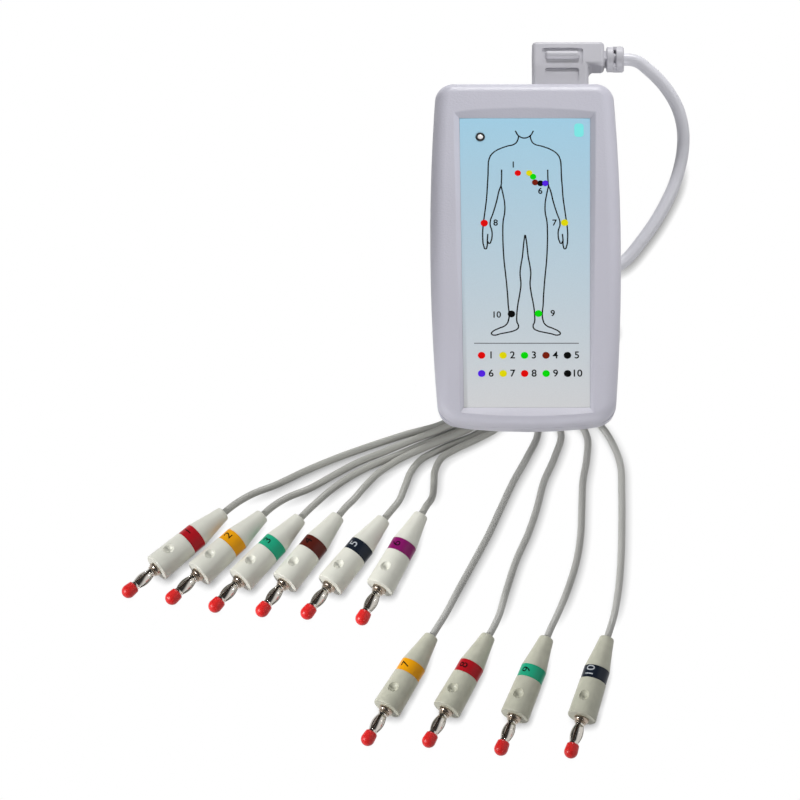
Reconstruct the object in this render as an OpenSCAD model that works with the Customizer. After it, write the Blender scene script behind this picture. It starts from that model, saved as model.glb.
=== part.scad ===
// Resting ECG recorder with its patient cable. The recorder lies face up on the cable's splitter block,
// and the ten plugs lie on the table in front of it.
// Millimetres. X runs to the right of the face, Y towards the cable socket, Z up from the table.

/* [Case] */
// Width of the case where it is widest
case_w = 75.2; // [74:0.4:82]
// Length of the case from the near end to the cable end
case_l = 149; // [146:1:158]
// Thickness of the case from back to face
case_t = 22; // [22:0.5:25]
// Wall thickness of both shells
wall = 2.2; // [1.9:0.1:2.5]
// Radius in plan of the four corners
corner_r = 8; // [6:0.5:10]
// Radius that rolls the back into the sides
back_r = 16; // [14:0.5:17]
// Radius that rolls the face into the sides
face_r = 5; // [4:0.5:6]
// How far each side draws in at the near end
side_bow = 3.4; // [1:0.2:4]
// How far the near end bulges at its middle
end_bow = 3.2; // [0.4:0.2:4]

/* [Face] */
// Width of the label at the cable end
label_w = 52; // [48:0.4:53]
// Length of the label
label_l = 125.6; // [118:0.2:127]
// How much narrower the label is at the near end
label_taper = 2.6; // [0:0.2:3]
// Distance from the near end of the case to the label
label_near = 7; // [6.5:0.5:9]
// Depth of the label below the face
bezel_depth = 1.4; // [1:0.1:1.8]
// Width of the sloping frame along the sides
bezel_side = 2.2; // [1.2:0.1:2.4]
// Width of the sloping frame at the cable end
bezel_far = 3.9; // [2.4:0.1:4.4]
// Width of the sloping frame at the near end
bezel_near = 4.6; // [3.8:0.1:5]
// Thickness of the face panel under the label
panel_t = 1.8; // [1.4:0.1:2]
// Thickness of the label
label_t = 0.4; // [0.2:0.1:0.6]
// Diameter of the status light
led_d = 2.2; // [1.8:0.1:2.8]
// Outer diameter of the ring round the status light
led_ring_d = 3.7; // [3.2:0.1:5]

/* [Power] */
// Diameter of a cell
cell_d = 14.5; // [13.5:0.1:14.5]
// Length of a cell
cell_l = 50.5; // [48:0.5:50.5]
// Thickness of the battery door
door_t = 1.8; // [1.5:0.1:2]
// How far the door slides to come free
door_travel = 5; // [3:0.5:7]

/* [Plug on the case] */
// Width of the cable plug above the case
hood_w = 22.4; // [21.6:0.2:26]
// Height of the cable plug above the case
hood_l = 19.4; // [17.6:0.2:22]
// Thickness of the cable plug
hood_t = 12; // [11:0.5:13.5]
// How far the plug's arm reaches past its block
arm_reach = 6.4; // [4:0.2:10]
// Width of the plug's arm
arm_w = 10.8; // [10.4:0.2:13]
// Sideways place of the plug on the case
plug_x = 14.4; // [8:0.2:14.8]
// Width of the plug's metal nose
nose_w = 18.2; // [16.6:0.2:19]
// Height of the plug's metal nose
nose_h = 5.4; // [5.2:0.1:5.6]
// Length of the plug's metal nose
nose_l = 10; // [9:0.5:10.5]
// Diameter of the trunk cable
trunk_d = 5; // [4.4:0.2:5.4]
// Outer diameter of the trunk's strain relief
relief_d = 10.4; // [9:0.2:10.4]

/* [Splitter block] */
// Width of the splitter block across the leads
yoke_w = 36; // [34:1:40]
// Length of the splitter block
yoke_l = 28; // [26:1:30]
// Thickness of the splitter block
yoke_h = 11.7; // [11.3:0.1:13.5]
// Wall of the splitter block
yoke_wall = 2; // [1.6:0.1:2.4]
// Spacing of the leads where they leave the block
lead_pitch = 3.2; // [3.1:0.1:3.4]

/* [Leads and plugs] */
// Diameter of a lead
lead_d = 2.8; // [2.4:0.1:2.8]
// Diameter of a plug sleeve at its front
sleeve_d = 11.4; // [10.8:0.1:12]
// Diameter of a plug sleeve at its ring
waist_d = 10.2; // [9.6:0.1:10.4]
// Length of a plug sleeve
sleeve_l = 35; // [34:0.5:40]
// Length of the sleeve's taper
taper_l = 14; // [12:0.5:16]
// Diameter of the sleeve's thin end
tail_d = 5.8; // [5:0.1:6.2]
// Width of the coloured ring
band_w = 5.4; // [4:0.2:8]
// Depth of the ring's groove in the sleeve
band_t = 0.6; // [0.4:0.1:0.9]
// Diameter of the pin inside its springs
pin_d = 2.6; // [2.2:0.1:3]
// Length of the spring cage
spring_l = 9; // [8:0.5:12]
// Widest diameter of the relaxed spring cage
spring_d = 5; // [4.4:0.1:5.2]
// Number of leaves in a spring cage
leaf_count = 4; // [3:1:6]
// Diameter of the pin's tip
tip_d = 5.4; // [4.8:0.1:5.8]
// Length of the pin's tip
tip_l = 5.8; // [5:0.2:7]

/* [Hidden] */
$fn = 48;
hull_fn = 32;
eps = 0.01;

// Clearances: rest is the gap under the case, slip lets pieces slide, seat lets a screw pass
rest = 0.3;
slip = 0.1;
seat = 0.05;

far_y = case_l / 2;
near_y = -case_l / 2;
case_z = yoke_h + rest;
bow_y = 6;

// Half width of the case at a distance y from its middle, and the near end's bulge at x
function half_w(y) = case_w / 2 - side_bow * pow((y - bow_y) / (case_l / 2 + bow_y), 2);
function near_line(x) = near_y + end_bow * pow(2 * x / case_w, 2);

side_steps = 8;
end_steps = 6;
side_line = [for (i = [0:side_steps])
  let (y = near_y + end_bow + i * (case_l - end_bow) / side_steps) [half_w(y), y]];
near_half = half_w(near_y);
near_points = [for (i = [1:end_steps - 1])
  let (x = -near_half + 2 * near_half * i / end_steps) [x, near_line(x)]];
left_line = [for (i = [side_steps:-1:0]) [-side_line[i][0], side_line[i][1]]];
case_points = concat(side_line, left_line, near_points);

// Heights inside the case, counted from its back
split_z = back_r;
bezel_z = case_t - bezel_depth;
label_z = bezel_z - label_t;
panel_z = label_z - panel_t;
bezel_over = 0.7;
lip_h = 1.6;
lip_t = 1;
lip_gap = 0.35;

// Case screws and the bosses that they join
screw_d = 3;
screw_head_d = 5.4;
screw_head_h = 2;
screw_key = 2.4;
screw_key_h = 1.2;
boss_d = 7;
boss_z = 8;
screw_seat_z = 3.4;
screw_l = 11;
boss_far_side = 10;
boss_far_end = 18;
boss_near_side = 13;
boss_near_end = 16;
boss_places = [
  [case_w / 2 - boss_far_side, far_y - boss_far_end],
  [-case_w / 2 + boss_far_side, far_y - boss_far_end],
  [case_w / 2 - boss_near_side, near_y + boss_near_end],
  [-case_w / 2 + boss_near_side, near_y + boss_near_end]
];

// Battery bay, from its near end
contact_t = 0.5;
contact_button = 1.2;
contact_button_d = 4;
contact_plate = 9;
bay_gap = 0.5;
bay_end = 17;
bay_w = 2 * cell_d + 2 * bay_gap;
bay_l = cell_l + 2 * (contact_t + contact_button);
bay_near = near_y + bay_end;
bay_far = bay_near + bay_l;
bay_wall = 1.5;
bay_h = 13;
cell_z = door_t + rest + cell_d / 2;
cell_cap_d = 5.5;
cell_cap_h = 1;
door_tongue = 1.2;
door_lip = 0.8;
door_over = 0.8;
door_w = bay_w + 2 * door_over;
door_l = bay_l + 2 * door_over;
door_near = bay_near - door_over;
frame_side = 2;
frame_top = door_t + 1.6;

// Circuit board, held on posts behind the cable end
board_t = 1.6;
board_w = 2 * (boss_places[0][0] - boss_d / 2 - bay_gap);
board_gap = 1;
board_end = 13;
board_near = bay_far + bay_wall + board_gap;
board_far = far_y - board_end;
socket_z = 11;
socket_wall = 0.6;
socket_w = nose_w + 2 * (slip + socket_wall);
socket_h = nose_h + 2 * (slip + socket_wall);
board_top = socket_z - socket_h / 2;
board_z = board_top - board_t;
post_d = 6;
post_screw_d = 2.5;
post_head_d = 4.4;
post_head_h = 1.5;
post_screw_l = 4.6;
post_in = 5;
post_left_end = 6;
post_right_end = 20;
post_places = [
  [-board_w / 2 + post_in, board_near + post_in],
  [board_w / 2 - post_in, board_near + post_in],
  [-board_w / 2 + post_in, board_far - post_left_end],
  [board_w / 2 - post_in, board_far - post_right_end]
];
radio_base = [10, 15, 0.8];
radio_can = [8, 11, 2.4];
radio_in = 2;
radio_end = 22;
chip_gap = 1;
chips_left = -board_w / 2 + radio_in + radio_base[0] + chip_gap;
led_side = 8.3;
led_end = 8.3;
led_place = [-label_w / 2 + led_side, near_y + label_near + label_l - led_end];

// Cable socket in the end wall
socket_back = board_far - 3;
socket_mouth = far_y - 1;
socket_block = 3.4;
pad_half = socket_w / 2 + 3;
pad_t = 6;
pad_z = 4;
contact_d = 1;
contact_pitch = 2.2;
contact_cols = 7;
contact_row = 1.9;
contact_reach = 6;

// Cable plug
hood_y = far_y + rest;
hood_z = case_z + socket_z;
hood_r = 1.6;
hood_far = hood_y + hood_l;
hood_right = plug_x + hood_w / 2;
arm_right = hood_right + arm_reach;
relief_y = hood_far - arm_w / 2;
relief_l = 7.9;
panel_cut = 0.5;
arm_root = 2 * hood_r + 2;
arm_step = 0.1;
grip_left = 4;
grip_right = 2.2;
grip_top = 2;
grip_l = 7.6;
bar_left = 5.2;
bar_right = 3.4;
bar_r = 1.5;
bar_sink = 0.6;
window_left = 5.2;
window_right = 3.8;
window_low = 1.4;
window_l = 6;
nose_wall = 0.5;
nose_root = 3;

// Splitter block: its middle on the table and the way the leads leave it
yoke_place = [15.2, -20.2];
yoke_turn = 236;
yoke_r = 5;
yoke_split = 6;
yoke_mid = 5.8;
boot_l = 7;
boot_d = 8.6;
boot_end_d = 6.4;
grommet_t = 2;
grommet_h = 6;
nozzle_l = 3;
nozzle_d = lead_d + 0.3;
yoke_screw_d = 2.2;
yoke_screw_head = 4;
yoke_screw_l = 8.2;
yoke_corner = 5;
yoke_pocket = [14, 22];
yoke_screw_places = [for (x = [-1, 1], y = [-1, 1])
  [x * (yoke_l / 2 - yoke_corner), y * (yoke_w / 2 - yoke_corner)]];
splitter_t = 1.2;

// Ten leads, from the first chest lead on the left to the right leg
lead_count = 10;
yoke_exit = yoke_l / 2 + grommet_t + nozzle_l;
function turned(p, a) = [p[0] * cos(a) - p[1] * sin(a), p[0] * sin(a) + p[1] * cos(a)];
function on_yoke(x, y, z) = let (q = turned([x, y], yoke_turn))
  [yoke_place[0] + q[0], yoke_place[1] + q[1], z];
function lead_side(i) = (i - (lead_count - 1) / 2) * lead_pitch;

// Plug sleeve, pin and the cage of leaf springs round it
band_r = waist_d / 2;
band_step = 0.15;
sleeve_rim = 0.5;
dent_r = 3.4;
dent_depth = 1.1;
dent_front = 7.6;
pin_seat = 8;
collar_d = 5.8;
collar_l = 2.4;
collar_edge = 0.7;
cage_ring = 1;
leaf_t = 0.3;
leaf_slot = 34;
leaf_steps = 6;
leaf_r = pin_d / 2 + 0.15;

// Each plug: its thin end on the table and its heading
plug_places = [
  [-118.5, -100.8, -138],
  [-103.3, -101.8, -135],
  [-88.6, -103.1, -131.6],
  [-73.7, -102.2, -126.5],
  [-55.8, -103.5, -127],
  [-41.2, -101.6, -117.7],
  [-37.2, -152.9, -120],
  [-15.1, -152.8, -118],
  [7.5, -153.7, -111.3],
  [31, -153.6, -107]
];
plug_z = sleeve_d / 2;
function on_plug(i, x) = let (p = plug_places[i], q = turned([x, 0], p[2]))
  [p[0] + q[0], p[1] + q[1], plug_z];

// Points between block and plug that each lead lies on. Beside the case the chest leads lie in two layers
low = lead_d / 2 + 0.2;
lead_points = [
  [[-14.9, -41.8, low + 2], [-20.8, -51, low + 0.4], [-26, -56.8, low], [-32.5, -60.7, low],
    [-46.9, -65.3, low], [-59.9, -69.9, low], [-72.9, -74.9, low], [-85.9, -80.7, low],
    [-98.7, -87.4, low + 0.3], [-107.8, -92.2, low + 2.4]],
  [[-12.4, -43.7, low + 2.6], [-18.7, -53.4, low + 2.4], [-24.6, -59.4, low + 2.4],
    [-31.8, -63.4, low + 2.4], [-45.4, -68.9, low + 1.7], [-56.2, -73.3, low + 0.6],
    [-66.2, -77.5, low], [-74.7, -82.4, low], [-85.1, -88.8, low + 0.3], [-94.2, -93.8, low + 2.4]],
  [[-9.9, -45.6, low + 2], [-16.6, -55.7, low + 0.4], [-23.4, -61.4, low], [-31.1, -65.4, low],
    [-40.8, -69.8, low], [-51.9, -74.9, low], [-61.6, -79.2, low], [-70.1, -84.2, low],
    [-76.6, -89.4, low + 0.4], [-81.6, -95, low + 2.4]],
  [[-7.4, -47.5, low + 2.6], [-14.5, -58.1, low + 2.4], [-22.1, -63.9, low + 2.4],
    [-30.4, -67.8, low + 2.4], [-38.6, -71.5, low + 2.4], [-49.8, -76.9, low + 1.7],
    [-57.8, -82, low + 0.5], [-63.4, -88, low + 0.4], [-67.6, -94.2, low + 2.4]],
  [[-4.9, -49.4, low + 2], [-12.4, -60.4, low + 0.4], [-20.8, -66, low], [-29.6, -69.8, low],
    [-35.6, -72.8, low], [-41.4, -76.4, low], [-45.2, -81.4, low], [-47.6, -88, low + 0.4],
    [-50, -95, low + 2.4]],
  [[-2.4, -51.3, low + 2.6], [-10.3, -62.8, low + 2.2], [-19.4, -68.4, low + 2],
    [-27.2, -72.2, low + 1.6], [-33.2, -76, low + 1], [-35.8, -81.2, low + 0.4],
    [-36.2, -87, low + 0.4], [-37, -93.6, low + 2.4]],
  [[4.6, -46.6, low + 2.8], [4, -52.4, low + 1], [5, -58.6, low], [4.8, -65, low],
    [0.4, -75.3, low], [-5, -85.7, low], [-9.9, -96.9, low], [-14.7, -108, low], [-20.2, -119, low],
    [-26.8, -132, low + 0.2], [-32.4, -144, low + 2.4]],
  [[7.8, -48, low + 2.8], [8.4, -53.6, low + 1], [11.4, -59, low], [13.9, -64.8, low],
    [11.5, -74.6, low], [7, -85.7, low], [4.2, -96.9, low], [0.9, -107.3, low], [-4, -119, low],
    [-8, -132, low + 0.2], [-11.2, -144, low + 2.4]],
  [[11, -49.4, low + 3], [12.8, -54.2, low + 1.2], [17, -58, low], [21.6, -61.2, low],
    [24.1, -66.2, low], [24, -75, low], [22.3, -85.7, low], [21.8, -96.9, low], [21.2, -108.6, low],
    [19.6, -119, low], [15.8, -132, low + 0.2], [11.2, -144.4, low + 2.4]],
  [[14.6, -50.2, low + 3.4], [17, -54, low + 1.8], [21.6, -56.4, low + 0.4], [26.6, -58.6, low],
    [30.6, -63, low], [34.2, -69.4, low], [36.9, -77.2, low], [37.5, -90.3, low],
    [37.4, -103.4, low], [37, -116.4, low], [35.8, -131, low + 0.2], [33.6, -144.4, low + 2.4]]
];

// Points of the trunk between its strain relief and the block, and the straight starts of the cords
trunk_low = trunk_d / 2 + 0.1;
trunk_start = 2;
cord_start = 3;
trunk_end = 6;
plug_start = 4;
trunk_points = [
  [45, 88.1, 22.9],
  [50, 84.7, 21.5],
  [57, 78.2, 18],
  [61.8, 70.8, 13.6],
  [63.7, 63.3, 9.4],
  [63.5, 56.4, 6.2],
  [60.9, 45.4, 3.2],
  [55.4, 32.6, trunk_low],
  [47.3, 19.2, trunk_low],
  [38.6, 8.2, trunk_low + 0.6]
];

// Smooth line through a route's points, and its rings
function unit(v) = v / norm(v);
function along(a, b, c) = let (p = norm(b - a), q = norm(c - b))
  p == 0 ? (c - b) / q : q == 0 ? (b - a) / p : ((b - a) * q / p + (c - b) * p / q) / (p + q);
function between(a, b, c, d, t) = let (l = norm(c - b), u = l * along(a, b, c), v = l * along(b, c, d))
  b + u * t + (3 * (c - b) - 2 * u - v) * t * t + (2 * (b - c) + u + v) * t * t * t;
function smooth(p, n) = concat(
  [for (i = [0:len(p) - 2], k = [0:n - 1])
    between(p[max(i - 1, 0)], p[i], p[i + 1], p[min(i + 2, len(p) - 1)], k / n)],
  [p[len(p) - 1]]);
function tangent(p, line, i, last) =
  i == 0 ? unit(p[1] - p[0])
    : i == last ? unit(p[len(p) - 1] - p[len(p) - 2])
    : unit(line[i + 1] - line[i - 1]);

// Round tube swept along a route
module tube(route, d, steps, sides = 8) {
  line = smooth(route, steps);
  last = len(line) - 1;
  rings = [for (i = [0:last])
    let (t = tangent(route, line, i, last), side = unit(cross(t, [0, 0, 1])), up = cross(side, t))
    for (k = [0:sides - 1])
      let (a = 360 * (k + 0.5) / sides) line[i] + d / 2 * (cos(a) * side + sin(a) * up)];
  walls = [for (i = [0:last - 1], k = [0:sides - 1], half = [0, 1])
    let (a = i * sides + k, b = i * sides + (k + 1) % sides)
      half == 0 ? [a, b, a + sides] : [b, b + sides, a + sides]];
  start_cap = [[for (k = [sides - 1:-1:0]) k]];
  end_cap = [[for (k = [0:sides - 1]) last * sides + k]];
  polyhedron(rings, concat(start_cap, walls, end_cap));
}

function lead_route(i) = concat(
  [on_yoke(yoke_exit, lead_side(i), yoke_mid), on_yoke(yoke_exit + cord_start, lead_side(i), yoke_mid)],
  lead_points[i],
  [on_plug(i, -plug_start), on_plug(i, 0)]);

trunk_route = concat(
  [
    [arm_right + relief_l, relief_y, hood_z],
    [arm_right + relief_l + trunk_start, relief_y, hood_z]
  ],
  trunk_points,
  [on_yoke(-yoke_l / 2 - boot_l - trunk_end, 0, yoke_mid), on_yoke(-yoke_l / 2 - boot_l, 0, yoke_mid)]);

module case_plan(inset) {
  offset(delta = -inset) offset(r = corner_r, $fn = hull_fn) offset(delta = -corner_r)
    polygon(case_points);
}

module on_case() {
  translate([0, 0, case_z]) children();
}

// Quarter round of the back or face, from the parting line outwards, set in by a wall
module rolled_edge(r, z, towards, inset, steps) {
  hull() {
    for (i = [0:steps]) {
      a = 90 * i / steps;
      translate([0, 0, z + towards * (r - inset) * sin(a)])
        linear_extrude(eps) case_plan(r - (r - inset) * cos(a));
    }
  }
}

// Face half of the case as a solid: straight from the parting line, then rolled over to the face
module face_skin() {
  steps = 5;
  hull() {
    translate([0, 0, split_z]) linear_extrude(case_t - face_r - split_z) case_plan(0);
    for (i = [1:steps]) {
      a = 90 * i / steps;
      translate([0, 0, case_t - face_r + face_r * sin(a) - eps])
        linear_extrude(eps) case_plan(face_r - face_r * cos(a));
    }
  }
}

// Plan of the label, or of the sloping frame's upper edge where grow is 1: there both ends are arched
module label_plan(grow) {
  far_arch = 1.8;
  near_side = 0.6;
  steps = grow == 0 ? 1 : 8;
  near = near_y + label_near - grow * bezel_near;
  far = near_y + label_near + label_l + grow * bezel_far;
  far_half = label_w / 2 + grow * bezel_side;
  near_half_w = (label_w - label_taper) / 2 + grow * bezel_side * near_side;
  near_arch = near_line(near_half_w) - near_y;
  across = [for (i = [0:steps]) 2 * i / steps - 1];
  polygon(concat(
    [for (t = across) [t * near_half_w, near + grow * near_arch * t * t]],
    [for (t = across) [-t * far_half, far - grow * far_arch * t * t]]));
}

// Recorder

module front_shell() {
  color("lavender") on_case() difference() {
    union() {
      difference() {
        union() {
          face_skin();
          translate([0, 0, split_z - lip_h]) linear_extrude(lip_h + 1) case_plan(wall + lip_gap);
        }
        translate([0, 0, split_z - 2 * lip_h]) linear_extrude(panel_z - split_z + 2 * lip_h)
          case_plan(wall + lip_gap + lip_t);
        translate([plug_x - pad_half - lip_gap, far_y - pad_t - lip_gap, split_z - 2 * lip_h])
          cube([2 * (pad_half + lip_gap), pad_t, 2 * lip_h]);
      }
      for (p = boss_places)
        translate([p[0], p[1], boss_z]) cylinder(d = boss_d, h = panel_z - boss_z + panel_t / 2);
    }
    hull() {
      translate([0, 0, bezel_z]) linear_extrude(eps) label_plan(0);
      translate([0, 0, case_t + bezel_over]) linear_extrude(eps) label_plan(1 + bezel_over / bezel_depth);
    }
    translate([0, 0, label_z]) linear_extrude(label_t + bezel_depth / 2) label_plan(0);
    for (p = boss_places)
      translate([p[0], p[1], boss_z - 1]) cylinder(d = screw_d + 2 * seat, h = panel_z - boss_z);
    translate([led_place[0], led_place[1], panel_z - 1]) cylinder(d = led_ring_d + 2 * seat, h = case_t);
  }
}

module rear_shell() {
  frame_half = door_w / 2 + door_tongue + frame_side;
  frame_near = door_near - door_travel - frame_side;
  frame_far = door_near + door_l + frame_side;
  color("lavender") on_case() difference() {
    union() {
      difference() {
        rolled_edge(back_r, split_z - eps, -1, 0, 7);
        rolled_edge(back_r, split_z, -1, wall, 7);
      }
      intersection() {
        rolled_edge(back_r, split_z - eps, -1, 0, 7);
        union() {
          translate([-frame_half, frame_near, 0])
            cube([2 * frame_half, frame_far - frame_near, frame_top]);
          for (p = boss_places) translate([p[0], p[1], 0]) cylinder(d = boss_d, h = boss_z);
        }
      }
      for (p = post_places)
        translate([p[0], p[1], wall / 2]) cylinder(d = post_d, h = board_z - wall / 2);
      translate([-bay_w / 2 - bay_wall, bay_near - bay_wall, wall])
        cube([bay_w + 2 * bay_wall, bay_l + 2 * bay_wall, bay_h - wall]);
      translate([plug_x - pad_half, far_y - pad_t, pad_z]) cube([2 * pad_half, pad_t, split_z - pad_z]);
    }
    translate([-bay_w / 2, bay_near, -1]) cube([bay_w, bay_l, case_t]);
    translate([-door_w / 2 - slip, door_near - door_travel - slip, -1])
      cube([door_w + 2 * slip, door_l + door_travel + 2 * slip, 1 + door_t + slip]);
    translate([-door_w / 2 - door_tongue - slip, door_near - door_travel - slip, door_lip - slip])
      cube([
        door_w + 2 * (door_tongue + slip),
        door_l + door_travel + 2 * slip,
        door_t - door_lip + 2 * slip
      ]);
    for (p = boss_places) {
      translate([p[0], p[1], -1]) cylinder(d = screw_d + 2 * seat, h = case_t);
      translate([p[0], p[1], -1]) cylinder(d = screw_head_d + 2 * slip, h = 1 + screw_seat_z);
    }
    for (p = post_places)
      translate([p[0], p[1], wall]) cylinder(d = post_screw_d + 2 * seat, h = board_z);
    translate([plug_x - socket_w / 2 - slip, far_y - pad_t - 1, socket_z - socket_h / 2 - slip])
      cube([socket_w + 2 * slip, pad_t + 2, socket_h + 2 * slip]);
  }
}

module face_label() {
  color("lightblue") on_case() difference() {
    translate([0, 0, label_z]) linear_extrude(label_t) offset(delta = -slip) label_plan(0);
    translate([led_place[0], led_place[1], 0]) cylinder(d = led_ring_d + 2 * seat, h = case_t);
  }
}

module led_ring() {
  color("black") on_case() translate([led_place[0], led_place[1], panel_z]) difference() {
    cylinder(d = led_ring_d, h = bezel_z - panel_z + 0.3);
    translate([0, 0, -1]) cylinder(d = led_d + 2 * seat, h = case_t);
  }
}

module led_lens() {
  color("white") on_case() translate([led_place[0], led_place[1], board_top])
    cylinder(d = led_d, h = bezel_z - board_top + 0.2);
}

module case_screws() {
  color("silver") on_case() for (p = boss_places) translate([p[0], p[1], screw_seat_z]) difference() {
    union() {
      translate([0, 0, -screw_head_h]) cylinder(d = screw_head_d, h = screw_head_h);
      cylinder(d = screw_d, h = screw_l);
    }
    translate([0, 0, -screw_head_h - eps]) cylinder(d = screw_key, h = screw_key_h, $fn = 6);
  }
}

module battery_door() {
  ribs = 5;
  rib_gap = 2.4;
  color("lavender") on_case() difference() {
    union() {
      translate([-door_w / 2, door_near, 0]) cube([door_w, door_l, door_t]);
      translate([-door_w / 2 - door_tongue, door_near, door_lip])
        cube([door_w + 2 * door_tongue, door_l, door_t - door_lip]);
    }
    for (i = [0:ribs - 1])
      translate([-door_w / 4, door_near + 5 + i * rib_gap, -eps]) cube([door_w / 2, rib_gap / 2, 0.5]);
  }
}

module battery_cells() {
  color("dimgray") on_case() for (side = [-1, 1])
    translate([side * cell_d / 2, bay_near + contact_t + contact_button, cell_z]) rotate([-90, 0, 0])
      union() {
        cylinder(d = cell_d - 2 * seat, h = cell_l - cell_cap_h);
        cylinder(d = cell_cap_d, h = cell_l);
      }
}

module battery_contacts() {
  color("gold") on_case() for (side = [-1, 1], end = [0, 1])
    translate([side * cell_d / 2, end == 0 ? bay_near : bay_far, cell_z])
    rotate([end == 0 ? -90 : 90, 0, 0])
      union() {
        translate([-contact_plate / 2, -contact_plate / 2, 0])
          cube([contact_plate, contact_plate, contact_t]);
        cylinder(d = contact_button_d, h = contact_t + contact_button);
      }
}

module main_board() {
  color("darkgreen") on_case() difference() {
    translate([-board_w / 2, board_near, board_z]) cube([board_w, board_far - board_near, board_t]);
    for (p = post_places)
      translate([p[0], p[1], board_z - 1]) cylinder(d = post_screw_d + 2 * seat, h = board_t + 2);
  }
}

module board_screws() {
  color("silver") on_case() for (p = post_places) translate([p[0], p[1], board_top]) union() {
    cylinder(d = post_head_d, h = post_head_h);
    translate([0, 0, -post_screw_l]) cylinder(d = post_screw_d, h = post_screw_l + eps);
  }
}

// Each chip: its distance from the radio and from the board's near end, and its size
module board_chips() {
  chips = [
    [0, 8, 12, 12, 1.4],
    [12, 25, 9, 9, 1.2],
    [1, 32, 5, 4, 1],
    [15, 12, 6, 4, 2],
    [7, 37, 4, 7, 1.6]
  ];
  color("black") on_case() for (c = chips)
    translate([chips_left + c[0], board_near + c[1], board_top]) cube([c[2], c[3], c[4]]);
}

module radio_module() {
  color("silver") on_case()
  translate([-board_w / 2 + radio_in, board_near + radio_end, board_top]) union() {
    cube(radio_base);
    translate([(radio_base[0] - radio_can[0]) / 2, radio_base[1] - radio_can[1] - chip_gap, 0])
      cube(radio_can);
  }
}

// Socket pins stand in two staggered rows
function contact_places() = [for (row = [-1, 1], i = [0:contact_cols - 1])
  [plug_x + (i - (contact_cols - 1) / 2) * contact_pitch + row * contact_pitch / 4,
    socket_z + row * contact_row / 2]];

module cable_socket() {
  color("silver") on_case() difference() {
    translate([plug_x - socket_w / 2, socket_back, socket_z - socket_h / 2])
      cube([socket_w, socket_mouth - socket_back, socket_h]);
    translate([plug_x - socket_w / 2 + socket_wall, socket_back - 1, socket_z - socket_h / 2 + socket_wall])
      cube([socket_w - 2 * socket_wall, case_l, socket_h - 2 * socket_wall]);
  }
}

module socket_insert() {
  color("dimgray") on_case() difference() {
    translate([plug_x - nose_w / 2 - slip + seat, socket_back, socket_z - nose_h / 2 - slip + seat])
      cube([nose_w + 2 * (slip - seat), socket_block, nose_h + 2 * (slip - seat)]);
    for (p = contact_places()) translate([p[0], socket_back - 1, p[1]]) rotate([-90, 0, 0])
      cylinder(d = contact_d, h = socket_block + 2);
  }
}

module socket_pins() {
  color("gold") on_case() for (p = contact_places())
    translate([p[0], socket_back, p[1]]) rotate([-90, 0, 0])
    cylinder(d = contact_d, h = socket_block + contact_reach);
}

// Patient cable

// Box with rounded edges, as a stack of rounded plans
module soft_box(size, r) {
  steps = 4;
  hull() {
    translate([0, 0, r]) linear_extrude(size[2] - 2 * r) soft_plan(size, r, r);
    for (i = [1:steps]) {
      a = 90 * i / steps;
      translate([0, 0, r - r * sin(a)]) linear_extrude(eps) soft_plan(size, r, r * cos(a));
      translate([0, 0, size[2] - r + r * sin(a) - eps]) linear_extrude(eps) soft_plan(size, r, r * cos(a));
    }
  }
}

module soft_plan(size, r, grow) {
  translate([r, r]) offset(r = grow, $fn = hull_fn) square([size[0] - 2 * r, size[1] - 2 * r]);
}

module plug_hood() {
  top = hood_z + hood_t / 2;
  left = plug_x - hood_w / 2;
  color("silver") difference() {
    union() {
      intersection() {
        translate([left, hood_y - 2 * hood_r, hood_z - hood_t / 2])
          soft_box([hood_w, hood_l + 2 * hood_r, hood_t], hood_r);
        translate([left - 1, hood_y, 0]) cube([hood_w + 2, hood_l + 1, 2 * hood_z]);
      }
      translate([hood_right - arm_root, hood_far - arm_w, hood_z - hood_t / 2 + arm_step])
        soft_box([arm_reach + arm_root, arm_w - arm_step, hood_t - 2 * arm_step], hood_r);
      grip_bar(left, top);
    }
    difference() {
      translate([left + grip_left, hood_far - grip_top - grip_l, top - panel_cut])
        cube([hood_w - grip_left - grip_right, grip_l, 2 * panel_cut]);
      grip_bar(left, top);
    }
    translate([left + window_left, hood_y + window_low, top - panel_cut])
      cube([hood_w - window_left - window_right, window_l, 2 * panel_cut]);
    translate([plug_x - nose_w / 2, hood_y - 1, hood_z - nose_h / 2]) cube([nose_w, nose_root + 1, nose_h]);
  }
}

// Round bar that stands in the plug's finger recess
module grip_bar(left, top) {
  translate([left + bar_left, hood_far - grip_top - grip_l / 2, top - panel_cut - bar_sink])
    rotate([0, 90, 0]) cylinder(r = bar_r, h = hood_w - bar_left - bar_right);
}

module plug_shell() {
  color("silver") difference() {
    translate([plug_x - nose_w / 2, hood_y - nose_l, hood_z - nose_h / 2])
      cube([nose_w, nose_l + nose_root, nose_h]);
    translate([plug_x - nose_w / 2 + nose_wall, hood_y - nose_l - 1, hood_z - nose_h / 2 + nose_wall])
      cube([nose_w - 2 * nose_wall, nose_l + nose_root + 2, nose_h - 2 * nose_wall]);
  }
}

module plug_insert() {
  side = nose_wall + seat;
  set_back = 0.4;
  color("dimgray") difference() {
    translate([plug_x - nose_w / 2 + side, hood_y - nose_l + set_back, hood_z - nose_h / 2 + side])
      cube([nose_w - 2 * side, nose_l + nose_root - set_back, nose_h - 2 * side]);
    for (p = contact_places()) translate([p[0], hood_y - nose_l - 1, case_z + p[1]]) rotate([-90, 0, 0])
      cylinder(d = contact_d + 2 * slip, h = contact_reach + 4);
  }
}

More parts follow.
